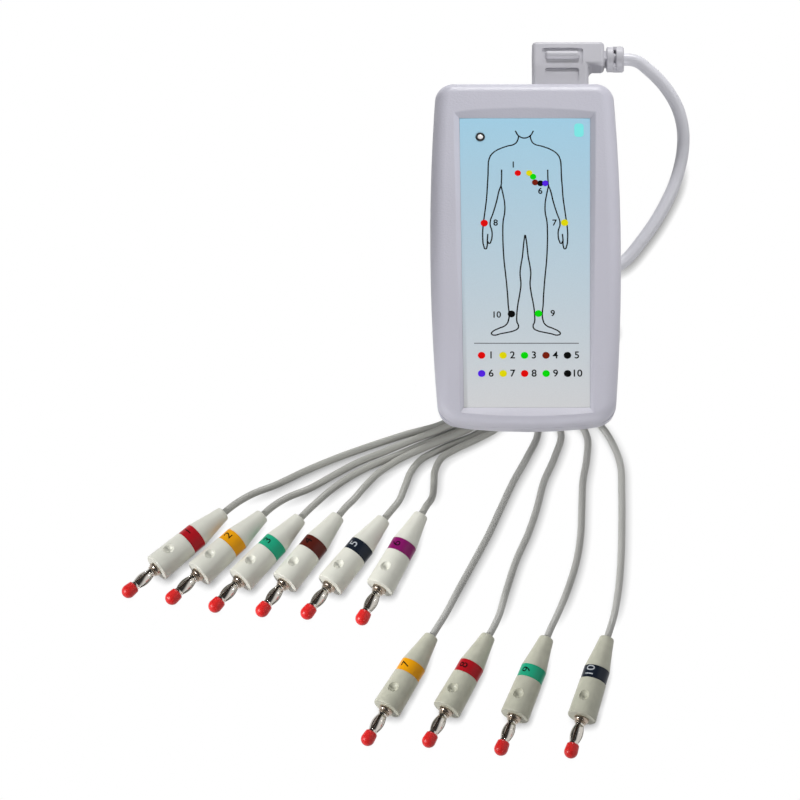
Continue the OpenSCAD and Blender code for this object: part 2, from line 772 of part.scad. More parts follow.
// Turned outline of the trunk's strain relief, as radius and distance from the plug
module trunk_relief() {
  r = relief_d / 2;
  neck = r - 1.6;
  color("silver") translate([arm_right, relief_y, hood_z]) rotate([0, 90, 0]) rotate_extrude()
    polygon([[0, 0], [neck, 0], [neck, 1], [r, 1.4], [r, 3.2], [neck, 3.4], [neck, 4.2], [r, 4.4],
      [r, relief_l - 0.8], [r - 0.8, relief_l], [0, relief_l]]);
}

module trunk_cable() {
  color("gainsboro") tube(trunk_route, trunk_d, 2, 12);
}

module at_yoke() {
  translate([yoke_place[0], yoke_place[1], 0]) rotate(yoke_turn) children();
}

module yoke_plan(inset) {
  offset(r = yoke_r - inset, $fn = hull_fn)
    square([yoke_l - 2 * yoke_r, yoke_w - 2 * yoke_r], center = true);
}

module yoke_base() {
  color("lightgray") at_yoke() difference() {
    hull() {
      linear_extrude(eps) yoke_plan(1);
      translate([0, 0, 1]) linear_extrude(yoke_split - 1) yoke_plan(0);
    }
    translate([-yoke_pocket[0] / 2, -yoke_pocket[1] / 2, yoke_wall])
      cube([yoke_pocket[0], yoke_pocket[1], yoke_h]);
    for (p = yoke_screw_places) translate([p[0], p[1], -1]) {
      cylinder(d = yoke_screw_d + 2 * seat, h = yoke_h);
      cylinder(d = yoke_screw_head + 2 * slip, h = 3);
    }
  }
}

module yoke_top() {
  color("lightgray") at_yoke() difference() {
    hull() {
      translate([0, 0, yoke_split]) linear_extrude(yoke_h - yoke_split - 2) yoke_plan(0);
      translate([0, 0, yoke_h - eps]) linear_extrude(eps) yoke_plan(2);
    }
    translate([-yoke_pocket[0] / 2, -yoke_pocket[1] / 2, 0])
      cube([yoke_pocket[0], yoke_pocket[1], yoke_h - yoke_wall]);
    for (p = yoke_screw_places) translate([p[0], p[1], 0])
      cylinder(d = yoke_screw_d + 2 * seat, h = yoke_h - yoke_wall);
  }
}

module yoke_screws() {
  color("silver") at_yoke() for (p = yoke_screw_places) translate([p[0], p[1], 0.4]) union() {
    cylinder(d = yoke_screw_head, h = 1.6);
    cylinder(d = yoke_screw_d, h = yoke_screw_l);
  }
}

module splitter_board() {
  color("darkgreen") at_yoke()
    translate([-yoke_pocket[0] / 2 + slip, -yoke_pocket[1] / 2 + slip, yoke_wall])
    cube([yoke_pocket[0] - 2 * slip, yoke_pocket[1] - 2 * slip, splitter_t]);
}

module yoke_boot() {
  color("silver") at_yoke() translate([-yoke_l / 2, 0, yoke_mid]) rotate([0, -90, 0]) rotate_extrude()
    polygon([[0, 0], [boot_d / 2, 0], [boot_d / 2, 1.6], [boot_end_d / 2, boot_l], [0, boot_l]]);
}

module lead_grommet() {
  bar = (lead_count - 1) * lead_pitch + nozzle_d + 1;
  color("gray") at_yoke() translate([yoke_l / 2, 0, yoke_mid]) union() {
    translate([0, -bar / 2, -grommet_h / 2]) cube([grommet_t, bar, grommet_h]);
    for (i = [0:lead_count - 1]) translate([grommet_t - eps, lead_side(i), 0]) rotate([0, 90, 0])
      cylinder(d = nozzle_d, h = nozzle_l + eps);
  }
}

module lead(i) {
  color("darkgray") tube(lead_route(i), lead_d, 2);
}

// Lead plugs, each turned about X from its thin end at the origin

module at_plug(i) {
  p = plug_places[i];
  translate([p[0], p[1], plug_z]) rotate(p[2]) children();
}

module turned_on_x() {
  rotate([90, 0, 90]) rotate_extrude() children();
}

module sleeve(i) {
  r = sleeve_d / 2;
  groove = band_r - band_t;
  grip = taper_l + band_w;
  tail_edge = 0.7;
  color("ivory") at_plug(i) difference() {
    turned_on_x() polygon([
      [0, 0],
      [tail_d / 2 - tail_edge, 0],
      [tail_d / 2, tail_edge],
      [band_r, taper_l],
      [groove, taper_l],
      [groove, grip],
      [band_r + band_step, grip],
      [r, sleeve_l - sleeve_rim],
      [r - sleeve_rim, sleeve_l],
      [0, sleeve_l]
    ]);
    for (side = [-1, 1])
      translate([sleeve_l - dent_front, 0, side * (r + dent_r - dent_depth)]) sphere(dent_r);
    translate([sleeve_l - pin_seat, 0, 0]) rotate([0, 90, 0])
      cylinder(d = pin_d + 2 * seat, h = pin_seat + 1);
  }
}

module bands(list, paint) {
  color(paint) for (i = list) at_plug(i) turned_on_x()
    translate([band_r - band_t, taper_l]) square([band_t, band_w]);
}

module pin_collars() {
  bore = pin_d / 2 + seat;
  r = collar_d / 2;
  color("tan") for (i = [0:lead_count - 1]) at_plug(i) turned_on_x() translate([0, sleeve_l])
    polygon([
      [bore, 0],
      [r, 0],
      [r, collar_l - 2 * collar_edge],
      [r - 0.3 * collar_edge, collar_l - collar_edge],
      [r - collar_edge, collar_l],
      [bore, collar_l]
    ]);
}

module pin_cores() {
  color("silver") for (i = [0:lead_count - 1]) at_plug(i)
    translate([sleeve_l - pin_seat, 0, 0]) rotate([0, 90, 0])
    cylinder(d = pin_d, h = pin_seat + collar_l + spring_l);
}

// One leaf bulges from ring to ring: its outline as radius and distance along the pin
function leaf_line(up) = [for (k = [0:leaf_steps]) let (t = k / leaf_steps)
  [leaf_r + up + (spring_d / 2 - leaf_t - leaf_r) * sin(180 * t),
    cage_ring + t * (spring_l - 2 * cage_ring)]];
function flipped(p) = [for (k = [len(p) - 1:-1:0]) p[k]];

module pin_springs() {
  leaf_angle = 360 / leaf_count - leaf_slot;
  color("gray") for (i = [0:lead_count - 1]) at_plug(i)
    translate([sleeve_l + collar_l, 0, 0]) rotate([90, 0, 90]) union() {
      for (end = [0, spring_l - cage_ring])
        rotate_extrude() translate([leaf_r, end]) square([leaf_t, cage_ring]);
      for (k = [0:leaf_count - 1]) rotate(360 * k / leaf_count)
        rotate_extrude(angle = leaf_angle) polygon(concat(leaf_line(leaf_t), flipped(leaf_line(0))));
    }
}

module pin_tips() {
  color("red") for (i = [0:lead_count - 1]) at_plug(i)
    translate([sleeve_l + collar_l + spring_l, 0, 0]) rotate([0, 90, 0]) union() {
      cylinder(d1 = tip_d - 0.8, d2 = tip_d, h = tip_l - tip_d / 2);
      translate([0, 0, tip_l - tip_d / 2]) intersection() {
        sphere(d = tip_d);
        translate([0, 0, tip_d / 2]) cube(tip_d, center = true);
      }
    }
}

front_shell();
rear_shell();
face_label();
led_ring();
led_lens();
case_screws();
battery_door();
battery_cells();
battery_contacts();
main_board();
board_screws();
board_chips();
radio_module();
cable_socket();
socket_insert();
socket_pins();
plug_hood();
plug_shell();
plug_insert();
trunk_relief();
trunk_cable();
yoke_base();
yoke_top();
yoke_screws();
splitter_board();
yoke_boot();
lead_grommet();
lead(0);  // lead_chest_1
lead(1);  // lead_chest_2
lead(2);  // lead_chest_3
lead(3);  // lead_chest_4
lead(4);  // lead_chest_5
lead(5);  // lead_chest_6
lead(6);  // lead_left_arm
lead(7);  // lead_right_arm
lead(8);  // lead_left_leg
lead(9);  // lead_right_leg
sleeve(0);  // sleeve_chest_1
sleeve(1);  // sleeve_chest_2
sleeve(2);  // sleeve_chest_3
sleeve(3);  // sleeve_chest_4
sleeve(4);  // sleeve_chest_5
sleeve(5);  // sleeve_chest_6
sleeve(6);  // sleeve_left_arm
sleeve(7);  // sleeve_right_arm
sleeve(8);  // sleeve_left_leg
sleeve(9);  // sleeve_right_leg
bands([0, 7], "firebrick");  // band_red
bands([1, 6], "orange");  // band_amber
bands([2, 8], "mediumseagreen");  // band_green
bands([3], "saddlebrown");  // band_brown
bands([4, 9], "midnightblue");  // band_black
bands([5], "purple");  // band_violet
pin_collars();
pin_cores();
pin_springs();
pin_tips();
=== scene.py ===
import math

import bmesh
import bpy
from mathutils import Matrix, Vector


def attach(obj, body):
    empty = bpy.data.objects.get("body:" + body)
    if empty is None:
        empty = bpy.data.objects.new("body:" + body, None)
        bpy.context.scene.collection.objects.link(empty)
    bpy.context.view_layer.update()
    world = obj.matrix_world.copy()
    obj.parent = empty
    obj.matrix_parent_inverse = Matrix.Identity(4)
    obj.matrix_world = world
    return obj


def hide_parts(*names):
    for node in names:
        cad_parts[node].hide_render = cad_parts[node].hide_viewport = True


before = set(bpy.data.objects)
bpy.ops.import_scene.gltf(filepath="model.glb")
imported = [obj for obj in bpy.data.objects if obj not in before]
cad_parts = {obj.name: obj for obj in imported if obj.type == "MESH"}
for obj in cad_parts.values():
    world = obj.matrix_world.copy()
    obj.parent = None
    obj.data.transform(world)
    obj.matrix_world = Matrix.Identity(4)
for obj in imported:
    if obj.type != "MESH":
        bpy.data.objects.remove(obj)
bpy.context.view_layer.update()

MM = 0.001


# Table and studio. A white sheet carries the object. Soft spots light the recorder from behind, from the
# right and from the front, one lights the plugs from the left, and the room is a dim white.

def linear(colour):
    """An sRGB hex colour as the linear RGBA that a shader socket takes."""
    parts = [int(colour[i:i + 2], 16) / 255 for i in (1, 3, 5)]
    return (*[c / 12.92 if c <= 0.04045 else ((c + 0.055) / 1.055) ** 2.4 for c in parts], 1.0)


def add(tree, kind, sockets=None, **settings):
    """Adds one node. A socket, by name or number, takes a value or another node's output."""
    made = tree.nodes.new(kind)
    for name, value in settings.items():
        setattr(made, name, value)
    for name, value in (sockets or {}).items():
        if isinstance(value, bpy.types.NodeSocket):
            tree.links.new(value, made.inputs[name])
        else:
            made.inputs[name].default_value = value
    return made


def clear():
    """Leaves edit mode and deselects everything."""
    if bpy.context.mode != "OBJECT":
        bpy.ops.object.mode_set(mode="OBJECT")
    bpy.ops.object.select_all(action="DESELECT")


table_size, table_drop = 6000, 0.3
clear()
bpy.ops.mesh.primitive_plane_add(size=table_size * MM, location=(0, 0, -table_drop * MM))
table = bpy.context.object
table.name = "table"

# Matt paper, white to the eye. Close to what lies on it, a painted shadow darkens its glow, on the side away
# from the plugs' light.
painted_shadow_way, painted_shadow_reach = (-0.45, 0.40, 0.80), 4
paper = bpy.data.materials.new("matt white paper")
paper.use_nodes = True
tree = paper.node_tree
tree.nodes.clear()
# The painted shadow: occlusion within a few mm, leaned toward the left and back, dims the glow that the eye
# and reflections see.
lean = add(tree, "ShaderNodeCombineXYZ", dict(enumerate(painted_shadow_way)))
near = add(tree, "ShaderNodeAmbientOcclusion",
           {"Distance": painted_shadow_reach * MM, "Normal": lean.outputs[0]}, samples=16)
tone = add(tree, "ShaderNodeMapRange", {"Value": near.outputs["AO"], "From Min": 0.1, "From Max": 0.9,
                                        "To Min": 0.15, "To Max": 1.0})
sheet = add(tree, "ShaderNodeEmission", {"Color": tone.outputs[0], "Strength": 1.0})
diffuse = add(tree, "ShaderNodeBsdfDiffuse", {"Color": linear("#A0A0A0")})
rays = add(tree, "ShaderNodeLightPath")
seen = add(tree, "ShaderNodeMath", {0: rays.outputs["Is Camera Ray"], 1: rays.outputs["Is Glossy Ray"]},
           operation="MAXIMUM")
mixed = add(tree, "ShaderNodeMixShader", {0: seen.outputs[0], 1: diffuse.outputs[0], 2: sheet.outputs[0]})
add(tree, "ShaderNodeOutputMaterial", {"Surface": mixed.outputs[0]})
table.data.materials.append(paper)

# The room is white to the eye and fills the shadows at about a third of that. Reflections see one bright wall
# on the right of a dark room, which is what gives plated metal its black and white.
room = bpy.data.worlds.new("white studio")
bpy.context.scene.world = room
room.use_nodes = True
tree = room.node_tree
tree.nodes.clear()
way = add(tree, "ShaderNodeSeparateXYZ", {0: add(tree, "ShaderNodeTexCoord").outputs["Generated"]})
wall_side = add(tree, "ShaderNodeMapRange", {"Value": way.outputs["X"], "From Min": 0.25, "From Max": 0.6,
                                             "To Min": 0.04, "To Max": 1.0})
fill, mirrored, white = [
    add(tree, "ShaderNodeBackground", {"Color": linear("#FFFFFF"), "Strength": strength})
    for strength in (0.36, wall_side.outputs[0], 1.0)]
rays = add(tree, "ShaderNodeLightPath")
shown = add(tree, "ShaderNodeMath",
            {0: rays.outputs["Is Camera Ray"], 1: rays.outputs["Is Transmission Ray"]}, operation="MAXIMUM")
inner = add(tree, "ShaderNodeMixShader",
            {0: rays.outputs["Is Glossy Ray"], 1: fill.outputs[0], 2: mirrored.outputs[0]})
mixed = add(tree, "ShaderNodeMixShader", {0: shown.outputs[0], 1: inner.outputs[0], 2: white.outputs[0]})
add(tree, "ShaderNodeOutputWorld", {"Surface": mixed.outputs[0]})

# Places, aims and sizes of the lamps are in metres, and their cones in degrees.
for name, place, aim, watts, cone, edge, size in [
        ("back_light", (0.10, 1.50, 0.75), (0.02, 0.39, 0.0), 84.0, 20.0, 0.05, 0.10),
        ("right_light", (1.20, 0.15, 1.00), (0.012, 0.020, 0.03), 18.0, 8.4, 0.38, 0.12),
        ("front_light", (0.30, -1.38, 0.55), (0.0, 0.0, 0.266), 40.0, 20.0, 0.04, 0.08),
        ("plug_light", (-1.31, -0.44, 0.60), (-0.06, -0.150, 0.0), 74.0, 8.6, 0.25, 0.08)]:
    bpy.ops.object.light_add(type="SPOT", location=place)
    lamp = bpy.context.object
    lamp.name = name
    lamp.rotation_euler = (Vector(aim) - Vector(place)).to_track_quat("-Z", "Y").to_euler()
    lamp.data.energy = watts
    lamp.data.spot_size = math.radians(cone)
    lamp.data.spot_blend = edge
    lamp.data.shadow_soft_size = size

# The view is 66 degrees down from a stand-off of 3 m, through a long lens, as in a catalogue picture.
camera_place, camera_tilt = (-0.0495, -1.2700, 2.7406), math.radians(24)
camera_lens, camera_sensor = 341.9, 36
bpy.ops.object.camera_add(location=camera_place, rotation=(camera_tilt, 0, 0))
camera = bpy.context.object
camera.data.sensor_width = camera_sensor
camera.data.lens = camera_lens
bpy.context.scene.camera = camera
bpy.context.scene.view_settings.view_transform = "Standard"


# Leads and trunk. Ten limp PVC leads, 2.8 mm thick, fan out from the splitter block to the plugs, and the
# 5 mm trunk loops from the right-angle plug round to the block. Extruded jackets, smooth, a little glossy.

def heading(a, b, c):
    """Direction of a smooth line at b, weighted by the distances to its neighbours."""
    p, q = (b - a).length, (c - b).length
    if p == 0:
        return (c - b) / q
    if q == 0:
        return (b - a) / p
    return ((b - a) * q / p + (c - b) * p / q) / (p + q)


def jacket(name, route, thickness):
    """A round cable along a route's points, in mm."""
    line = [Vector(p) * MM for p in route]
    clear()
    bpy.ops.curve.primitive_bezier_curve_add()
    made = bpy.context.object
    made.name = name
    spline = made.data.splines[0]
    spline.bezier_points.add(len(line) - 2)
    for i, point in enumerate(spline.bezier_points):
        before, here, after = line[max(i - 1, 0)], line[i], line[min(i + 1, len(line) - 1)]
        way = heading(before, here, after)
        point.handle_left_type = point.handle_right_type = "FREE"
        point.co = here
        point.handle_left = here - way * (here - before).length / 3
        point.handle_right = here + way * (after - here).length / 3
    spline.resolution_u = 10
    made.data.bevel_depth = thickness / 2 * MM
    made.data.bevel_resolution = 6
    made.data.use_fill_caps = True
    return made


def grained(name, rough, grain, depth, detail=3.0, spread=0.05):
    """A material with fine grain, in mm, in its gloss and relief. Gives it, its coordinates and the grain."""
    made = bpy.data.materials.new(name)
    made.use_nodes = True
    tree = made.node_tree
    shader = tree.nodes["Principled BSDF"]
    where = add(tree, "ShaderNodeTexCoord").outputs["Object"]
    noise = add(tree, "ShaderNodeTexNoise", {"Vector": where, "Scale": 1 / (grain * MM), "Detail": detail})
    fine = noise.outputs["Fac"]
    gloss = add(tree, "ShaderNodeMapRange", {"Value": fine, "From Min": 0.3, "From Max": 0.7,
                                             "To Min": rough - spread, "To Max": rough + spread})
    bump = add(tree, "ShaderNodeBump", {"Height": fine, "Strength": 1.0, "Distance": depth * MM})
    tree.links.new(gloss.outputs[0], shader.inputs["Roughness"])
    tree.links.new(bump.outputs[0], shader.inputs["Normal"])
    return made, where, fine


def plastic(name, colour, rough, grain, depth, drift=0.06, patch=14.0, ior=1.5):
    """Moulded or extruded plastic: the tool's fine grain, and a slow drift of tone over patches, in mm."""
    made, where, _ = grained(name, rough, grain, depth)
    tree = made.node_tree
    shader = tree.nodes["Principled BSDF"]
    shader.inputs["IOR"].default_value = ior
    slow = add(tree, "ShaderNodeTexNoise", {"Vector": where, "Scale": 1 / (patch * MM), "Detail": 3.0})
    base = linear(colour)
    dark = (*[c * (1 - drift) for c in base[:3]], 1)
    pale = (*[min(c * (1 + drift), 1) for c in base[:3]], 1)
    tone = add(tree, "ShaderNodeMix", {0: slow.outputs["Fac"], 6: dark, 7: pale}, data_type="RGBA")
    tree.links.new(tone.outputs[2], shader.inputs["Base Color"])
    return made


def fit(made, body, slot_name, finish, *nodes):
    """Gives a piece its finish and its body, and hides the CAD nodes that it stands for."""
    made.data.materials.clear()
    made.data.materials.append(finish)
    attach(made, body)
    if nodes:
        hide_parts(*nodes)


# Sizes are in mm, and the lengths of the cords in metres.
block_place, block_turn, block_mid, block_l = (15.2, -20.2), math.radians(236), 5.8, 28
boot_l, grommet_t, nozzle_l = 7, 2, 3
lead_d, lead_pitch, lead_straight = 2.8, 3.2, 3
lead_exit = block_l / 2 + grommet_t + nozzle_l
trunk_d, trunk_length, trunk_straight, trunk_exit = 5, 0.1201, 6, (39.9, 88.8, 23)
plug_mid, plug_straight = 5.7, 4


def on_block(x, y, z):
    """A point of the splitter block, in mm, from the block's own middle."""
    turn_x, turn_y = math.cos(block_turn), math.sin(block_turn)
    return (block_place[0] + x * turn_x - y * turn_y, block_place[1] + x * turn_y + y * turn_x, z)


def on_plug(place, x):
    """A point on a plug's axis, in mm, from the plug's thin end."""
    turned = math.radians(place[2])
    return (place[0] + x * math.cos(turned), place[1] + x * math.sin(turned), plug_mid)


# Each lead has the place of its plug's thin end with the plug's heading in degrees, its length, and the
# points that it passes. A lead on the table has its axis at low, and the chest leads lie two deep in places.
low = lead_d / 2 + 0.2
lead_runs = [
    ("chest_1", (-118.5, -100.8, -138), 0.1385,
     [(-14.9, -41.8, low + 2), (-20.8, -51, low + 0.4), (-26, -56.8, low), (-32.5, -60.7, low),
      (-46.9, -65.3, low), (-59.9, -69.9, low), (-72.9, -74.9, low), (-85.9, -80.7, low),
      (-98.7, -87.4, low + 0.3), (-107.8, -92.2, low + 2.4)]),
    ("chest_2", (-103.3, -101.8, -135), 0.1266,
     [(-12.4, -43.7, low + 2.6), (-18.7, -53.4, low + 2.4), (-24.6, -59.4, low + 2.4),
      (-31.8, -63.4, low + 2.4), (-45.4, -68.9, low + 1.7), (-56.2, -73.3, low + 0.6), (-66.2, -77.5, low),
      (-74.7, -82.4, low), (-85.1, -88.8, low + 0.3), (-94.2, -93.8, low + 2.4)]),
    ("chest_3", (-88.6, -103.1, -131.6), 0.1166,
     [(-9.9, -45.6, low + 2), (-16.6, -55.7, low + 0.4), (-23.4, -61.4, low), (-31.1, -65.4, low),
      (-40.8, -69.8, low), (-51.9, -74.9, low), (-61.6, -79.2, low), (-70.1, -84.2, low),
      (-76.6, -89.4, low + 0.4), (-81.6, -95, low + 2.4)]),
    ("chest_4", (-73.7, -102.2, -126.5), 0.1053,
     [(-7.4, -47.5, low + 2.6), (-14.5, -58.1, low + 2.4), (-22.1, -63.9, low + 2.4),
      (-30.4, -67.8, low + 2.4), (-38.6, -71.5, low + 2.4), (-49.8, -76.9, low + 1.7),
      (-57.8, -82, low + 0.5), (-63.4, -88, low + 0.4), (-67.6, -94.2, low + 2.4)]),
    ("chest_5", (-55.8, -103.5, -127), 0.0950,
     [(-4.9, -49.4, low + 2), (-12.4, -60.4, low + 0.4), (-20.8, -66, low), (-29.6, -69.8, low),
      (-35.6, -72.8, low), (-41.4, -76.4, low), (-45.2, -81.4, low), (-47.6, -88, low + 0.4),
      (-50, -95, low + 2.4)]),
    ("chest_6", (-41.2, -101.6, -117.7), 0.0854,
     [(-2.4, -51.3, low + 2.6), (-10.3, -62.8, low + 2.2), (-19.4, -68.4, low + 2), (-27.2, -72.2, low + 1.6),
      (-33.2, -76, low + 1), (-35.8, -81.2, low + 0.4), (-36.2, -87, low + 0.4), (-37, -93.6, low + 2.4)]),
    ("left_arm", (-37.2, -152.9, -120), 0.1260,
     [(4.6, -46.6, low + 2.8), (4, -52.4, low + 1), (5, -58.6, low), (4.8, -65, low), (0.4, -75.3, low),
      (-5, -85.7, low), (-9.9, -96.9, low), (-14.7, -108, low), (-20.2, -119, low), (-26.8, -132, low + 0.2),
      (-32.4, -144, low + 2.4)]),
    ("right_arm", (-15.1, -152.8, -118), 0.1206,
     [(7.8, -48, low + 2.8), (8.4, -53.6, low + 1), (11.4, -59, low), (13.9, -64.8, low), (11.5, -74.6, low),
      (7, -85.7, low), (4.2, -96.9, low), (0.9, -107.3, low), (-4, -119, low), (-8, -132, low + 0.2),
      (-11.2, -144, low + 2.4)]),
    ("left_leg", (7.5, -153.7, -111.3), 0.1210,
     [(11, -49.4, low + 3), (12.8, -54.2, low + 1.2), (17, -58, low), (21.6, -61.2, low), (24.1, -66.2, low),
      (24, -75, low), (22.3, -85.7, low), (21.8, -96.9, low), (21.2, -108.6, low), (19.6, -119, low),
      (15.8, -132, low + 0.2), (11.2, -144.4, low + 2.4)]),
    ("right_leg", (31, -153.6, -107), 0.1217,
     [(14.6, -50.2, low + 3.4), (17, -54, low + 1.8), (21.6, -56.4, low + 0.4), (26.6, -58.6, low),
      (30.6, -63, low), (34.2, -69.4, low), (36.9, -77.2, low), (37.5, -90.3, low), (37.4, -103.4, low),
      (37, -116.4, low), (35.8, -131, low + 0.2), (33.6, -144.4, low + 2.4)]),
]
lead_sides = [(k - (len(lead_runs) - 1) / 2) * lead_pitch for k in range(len(lead_runs))]
trunk_low = trunk_d / 2 + 0.1
trunk_run = [
    trunk_exit, (41.9, 88.8, 23), (45, 88.1, 22.9), (50, 84.7, 21.5), (57, 78.2, 18), (61.8, 70.8, 13.6),
    (63.7, 63.3, 9.4), (63.5, 56.4, 6.2), (60.9, 45.4, 3.2), (55.4, 32.6, trunk_low), (47.3, 19.2, trunk_low),
    (38.6, 8.2, trunk_low + 0.6), on_block(-block_l / 2 - boot_l - trunk_straight, 0, block_mid),
    on_block(-block_l / 2 - boot_l, 0, block_mid)]

# Extruded PVC, satin: the leads are all one grey, with painted shade making the chest leads darker and
# painted light making the limb leads lighter; the trunk is paler.
chest_pvc_painted_shade = plastic("extruded PVC, grey with painted shade", "#AEAEA8", 0.42, 0.5, 0.006)
limb_pvc_painted_light = plastic("extruded PVC, grey with painted light", "#B4B4B0", 0.42, 0.5, 0.006)
trunk_pvc = plastic("extruded PVC, silver grey", "#DADAE1", 0.4, 0.6, 0.006)

leads = []
for side, (name, place, length, points) in zip(lead_sides, lead_runs):
    start = on_block(lead_exit, side, block_mid)
    lead = jacket("wire_" + name, [
        start, on_block(lead_exit + lead_straight, side, block_mid), *points,
        on_plug(place, -plug_straight), on_plug(place, 0)], lead_d)
    pvc = chest_pvc_painted_shade if name.startswith("chest") else limb_pvc_painted_light
    fit(lead, "patient_cable", "lead_jacket", pvc, "lead_" + name)
    leads.append((lead, start))

trunk = jacket("trunk_wire", trunk_run, trunk_d)
fit(trunk, "patient_cable", "trunk_jacket", trunk_pvc, "trunk_cable")


# Splitter block. Two moulded halves, screwed together from below, where the trunk's cores part into ten
# leads. It lies flat on the table under the recorder. The trunk enters by a tapered boot.

def only(made):
    """Leaves one piece selected and active, in object mode."""
    clear()
    made.select_set(True)
    bpy.context.view_layer.objects.active = made


def modify(made, kind, **settings):
    """Adds a modifier with its settings, and applies it."""
    only(made)
    step = made.modifiers.new(kind.lower(), kind)
    for name, value in settings.items():
        setattr(step, name, value)
    bpy.ops.object.modifier_apply(modifier=step.name)


def join(made, others):
    """Joins other pieces into one."""
    only(made)
    for piece in others:
        piece.select_set(True)
    bpy.ops.object.join()


def pick(kind, test):
    """Selects, in edit mode, the vertices, edges or faces that pass a test on their place."""
    bpy.ops.mesh.select_mode(type=kind)
    bpy.ops.mesh.select_all(action="DESELECT")
    mesh = bpy.context.edit_object.data
    shape = bmesh.from_edit_mesh(mesh)
    for item in {"VERT": shape.verts, "EDGE": shape.edges, "FACE": shape.faces}[kind]:
        item.select_set(bool(test(item)))
    shape.select_flush_mode()
    bmesh.update_edit_mesh(mesh)


def upright(edge):
    """Tells whether an edge stands along Z."""
    a, b = edge.verts
    return abs(a.co.z - b.co.z) > 0.9 * (a.co - b.co).length


def level(edge, height):
    """Tells whether an edge lies flat at a height, in mm."""
    return all(abs(v.co.z - height * MM) < 0.01 * MM for v in edge.verts)


def bevel(width, segments, affect="EDGES"):
    """Rounds what is selected in edit mode, by a width in mm."""
    bpy.ops.mesh.bevel(offset=width * MM, segments=segments, affect=affect)


def outward():
    """Turns every face outward, in edit mode."""
    bpy.ops.mesh.select_all(action="SELECT")
    bpy.ops.mesh.normals_make_consistent(inside=False)


def block(name, low_corner, high_corner):
    """A cube between two corners, in mm, left open in edit mode."""
    clear()
    middle = [(a + b) / 2 * MM for a, b in zip(low_corner, high_corner)]
    bpy.ops.mesh.primitive_cube_add(size=1, location=middle)
    made = bpy.context.object
    made.name = name
    made.scale = [(b - a) * MM for a, b in zip(low_corner, high_corner)]
    bpy.ops.object.transform_apply(location=True, rotation=True, scale=True)
    bpy.ops.object.mode_set(mode="EDIT")
    return made


def turn(name, outline, steps=64, sweep=360.0):
    """Turns an outline, distances along X and radii in mm, about the X axis, as on a lathe."""
    clear()
    bpy.ops.mesh.primitive_plane_add(size=MM)
    made = bpy.context.object
    made.name = name
    bpy.ops.object.mode_set(mode="EDIT")
    bpy.ops.mesh.select_mode(type="VERT")
    bpy.ops.mesh.merge(type="CENTER")
    bpy.ops.transform.translate(value=(outline[0][0] * MM, 0, outline[0][1] * MM))
    for (x0, r0), (x1, r1) in zip(outline, outline[1:]):
        bpy.ops.mesh.extrude_vertices_move(
            TRANSFORM_OT_translate={"value": ((x1 - x0) * MM, 0, (r1 - r0) * MM)})
    bpy.ops.mesh.select_all(action="SELECT")
    bpy.ops.mesh.spin(steps=steps, angle=math.radians(sweep), center=(0, 0, 0), axis=(1, 0, 0))
    bpy.ops.mesh.select_all(action="SELECT")
    bpy.ops.mesh.remove_doubles(threshold=0.001 * MM)
    outward()
    bpy.ops.object.mode_set(mode="OBJECT")
    return made


def smooth(made, angle=32):
    """Smooth shading with flat faces kept flat, as a weighted normal gives."""
    only(made)
    bpy.ops.object.shade_smooth_by_angle(angle=math.radians(angle))
    modify(made, "WEIGHTED_NORMAL", keep_sharp=True)


def put(made, place, turned=0.0):
    """Turns a piece about Z and moves it to its place, in mm, and leaves that in its mesh."""
    only(made)
    made.rotation_euler = (0, 0, turned)
    made.location = [c * MM for c in place]
    bpy.ops.object.transform_apply(location=True, rotation=True, scale=True)


# Soft thermoplastic elastomer, grey, with the dull grain of a blasted tool.
cable_tpe = plastic("moulded TPE, silver grey", "#C5C4CB", 0.48, 0.35, 0.012)
lead_tpe = plastic("moulded TPE, mid grey", "#8F8F8C", 0.5, 0.35, 0.012)

block_w, block_h, block_split, block_corner, parting = 36, 11.7, 6, 5, 0.25
for name, low_z, high_z, round_z, rounding, node_name in [
        ("block_floor", 0, block_split, 0, 1.0, "yoke_base"),
        ("block_lid", block_split, block_h, block_h, 2.0, "yoke_top")]:
    half = block(name, (-block_l / 2, -block_w / 2, low_z), (block_l / 2, block_w / 2, high_z))
    pick("EDGE", upright)
    bevel(block_corner, 8)
    pick("EDGE", lambda e: level(e, round_z))
    bevel(rounding, 5)
    pick("EDGE", lambda e: level(e, block_split))
    bevel(parting, 2)
    smooth(half)
    put(half, (*block_place, 0), block_turn)
    fit(half, "patient_cable", "cable_plastic", cable_tpe, node_name)

boot = turn("trunk_boot", [
    (0, 0), (0, 4.3), (1.4, 4.3), (1.7, 4.15), (1.7, 3.9), (2.3, 3.9), (2.3, 4.05), (3.5, 3.85), (3.5, 3.55),
    (4.1, 3.5), (4.1, 3.72), (5.3, 3.5), (5.3, 3.25), (5.8, 3.2), (5.8, 3.4), (6.7, 3.25), (boot_l, 3.0),
    (boot_l, 0)])
smooth(boot)
put(boot, on_block(-block_l / 2, 0, block_mid), block_turn + math.pi)
fit(boot, "patient_cable", "cable_plastic", cable_tpe, "yoke_boot")

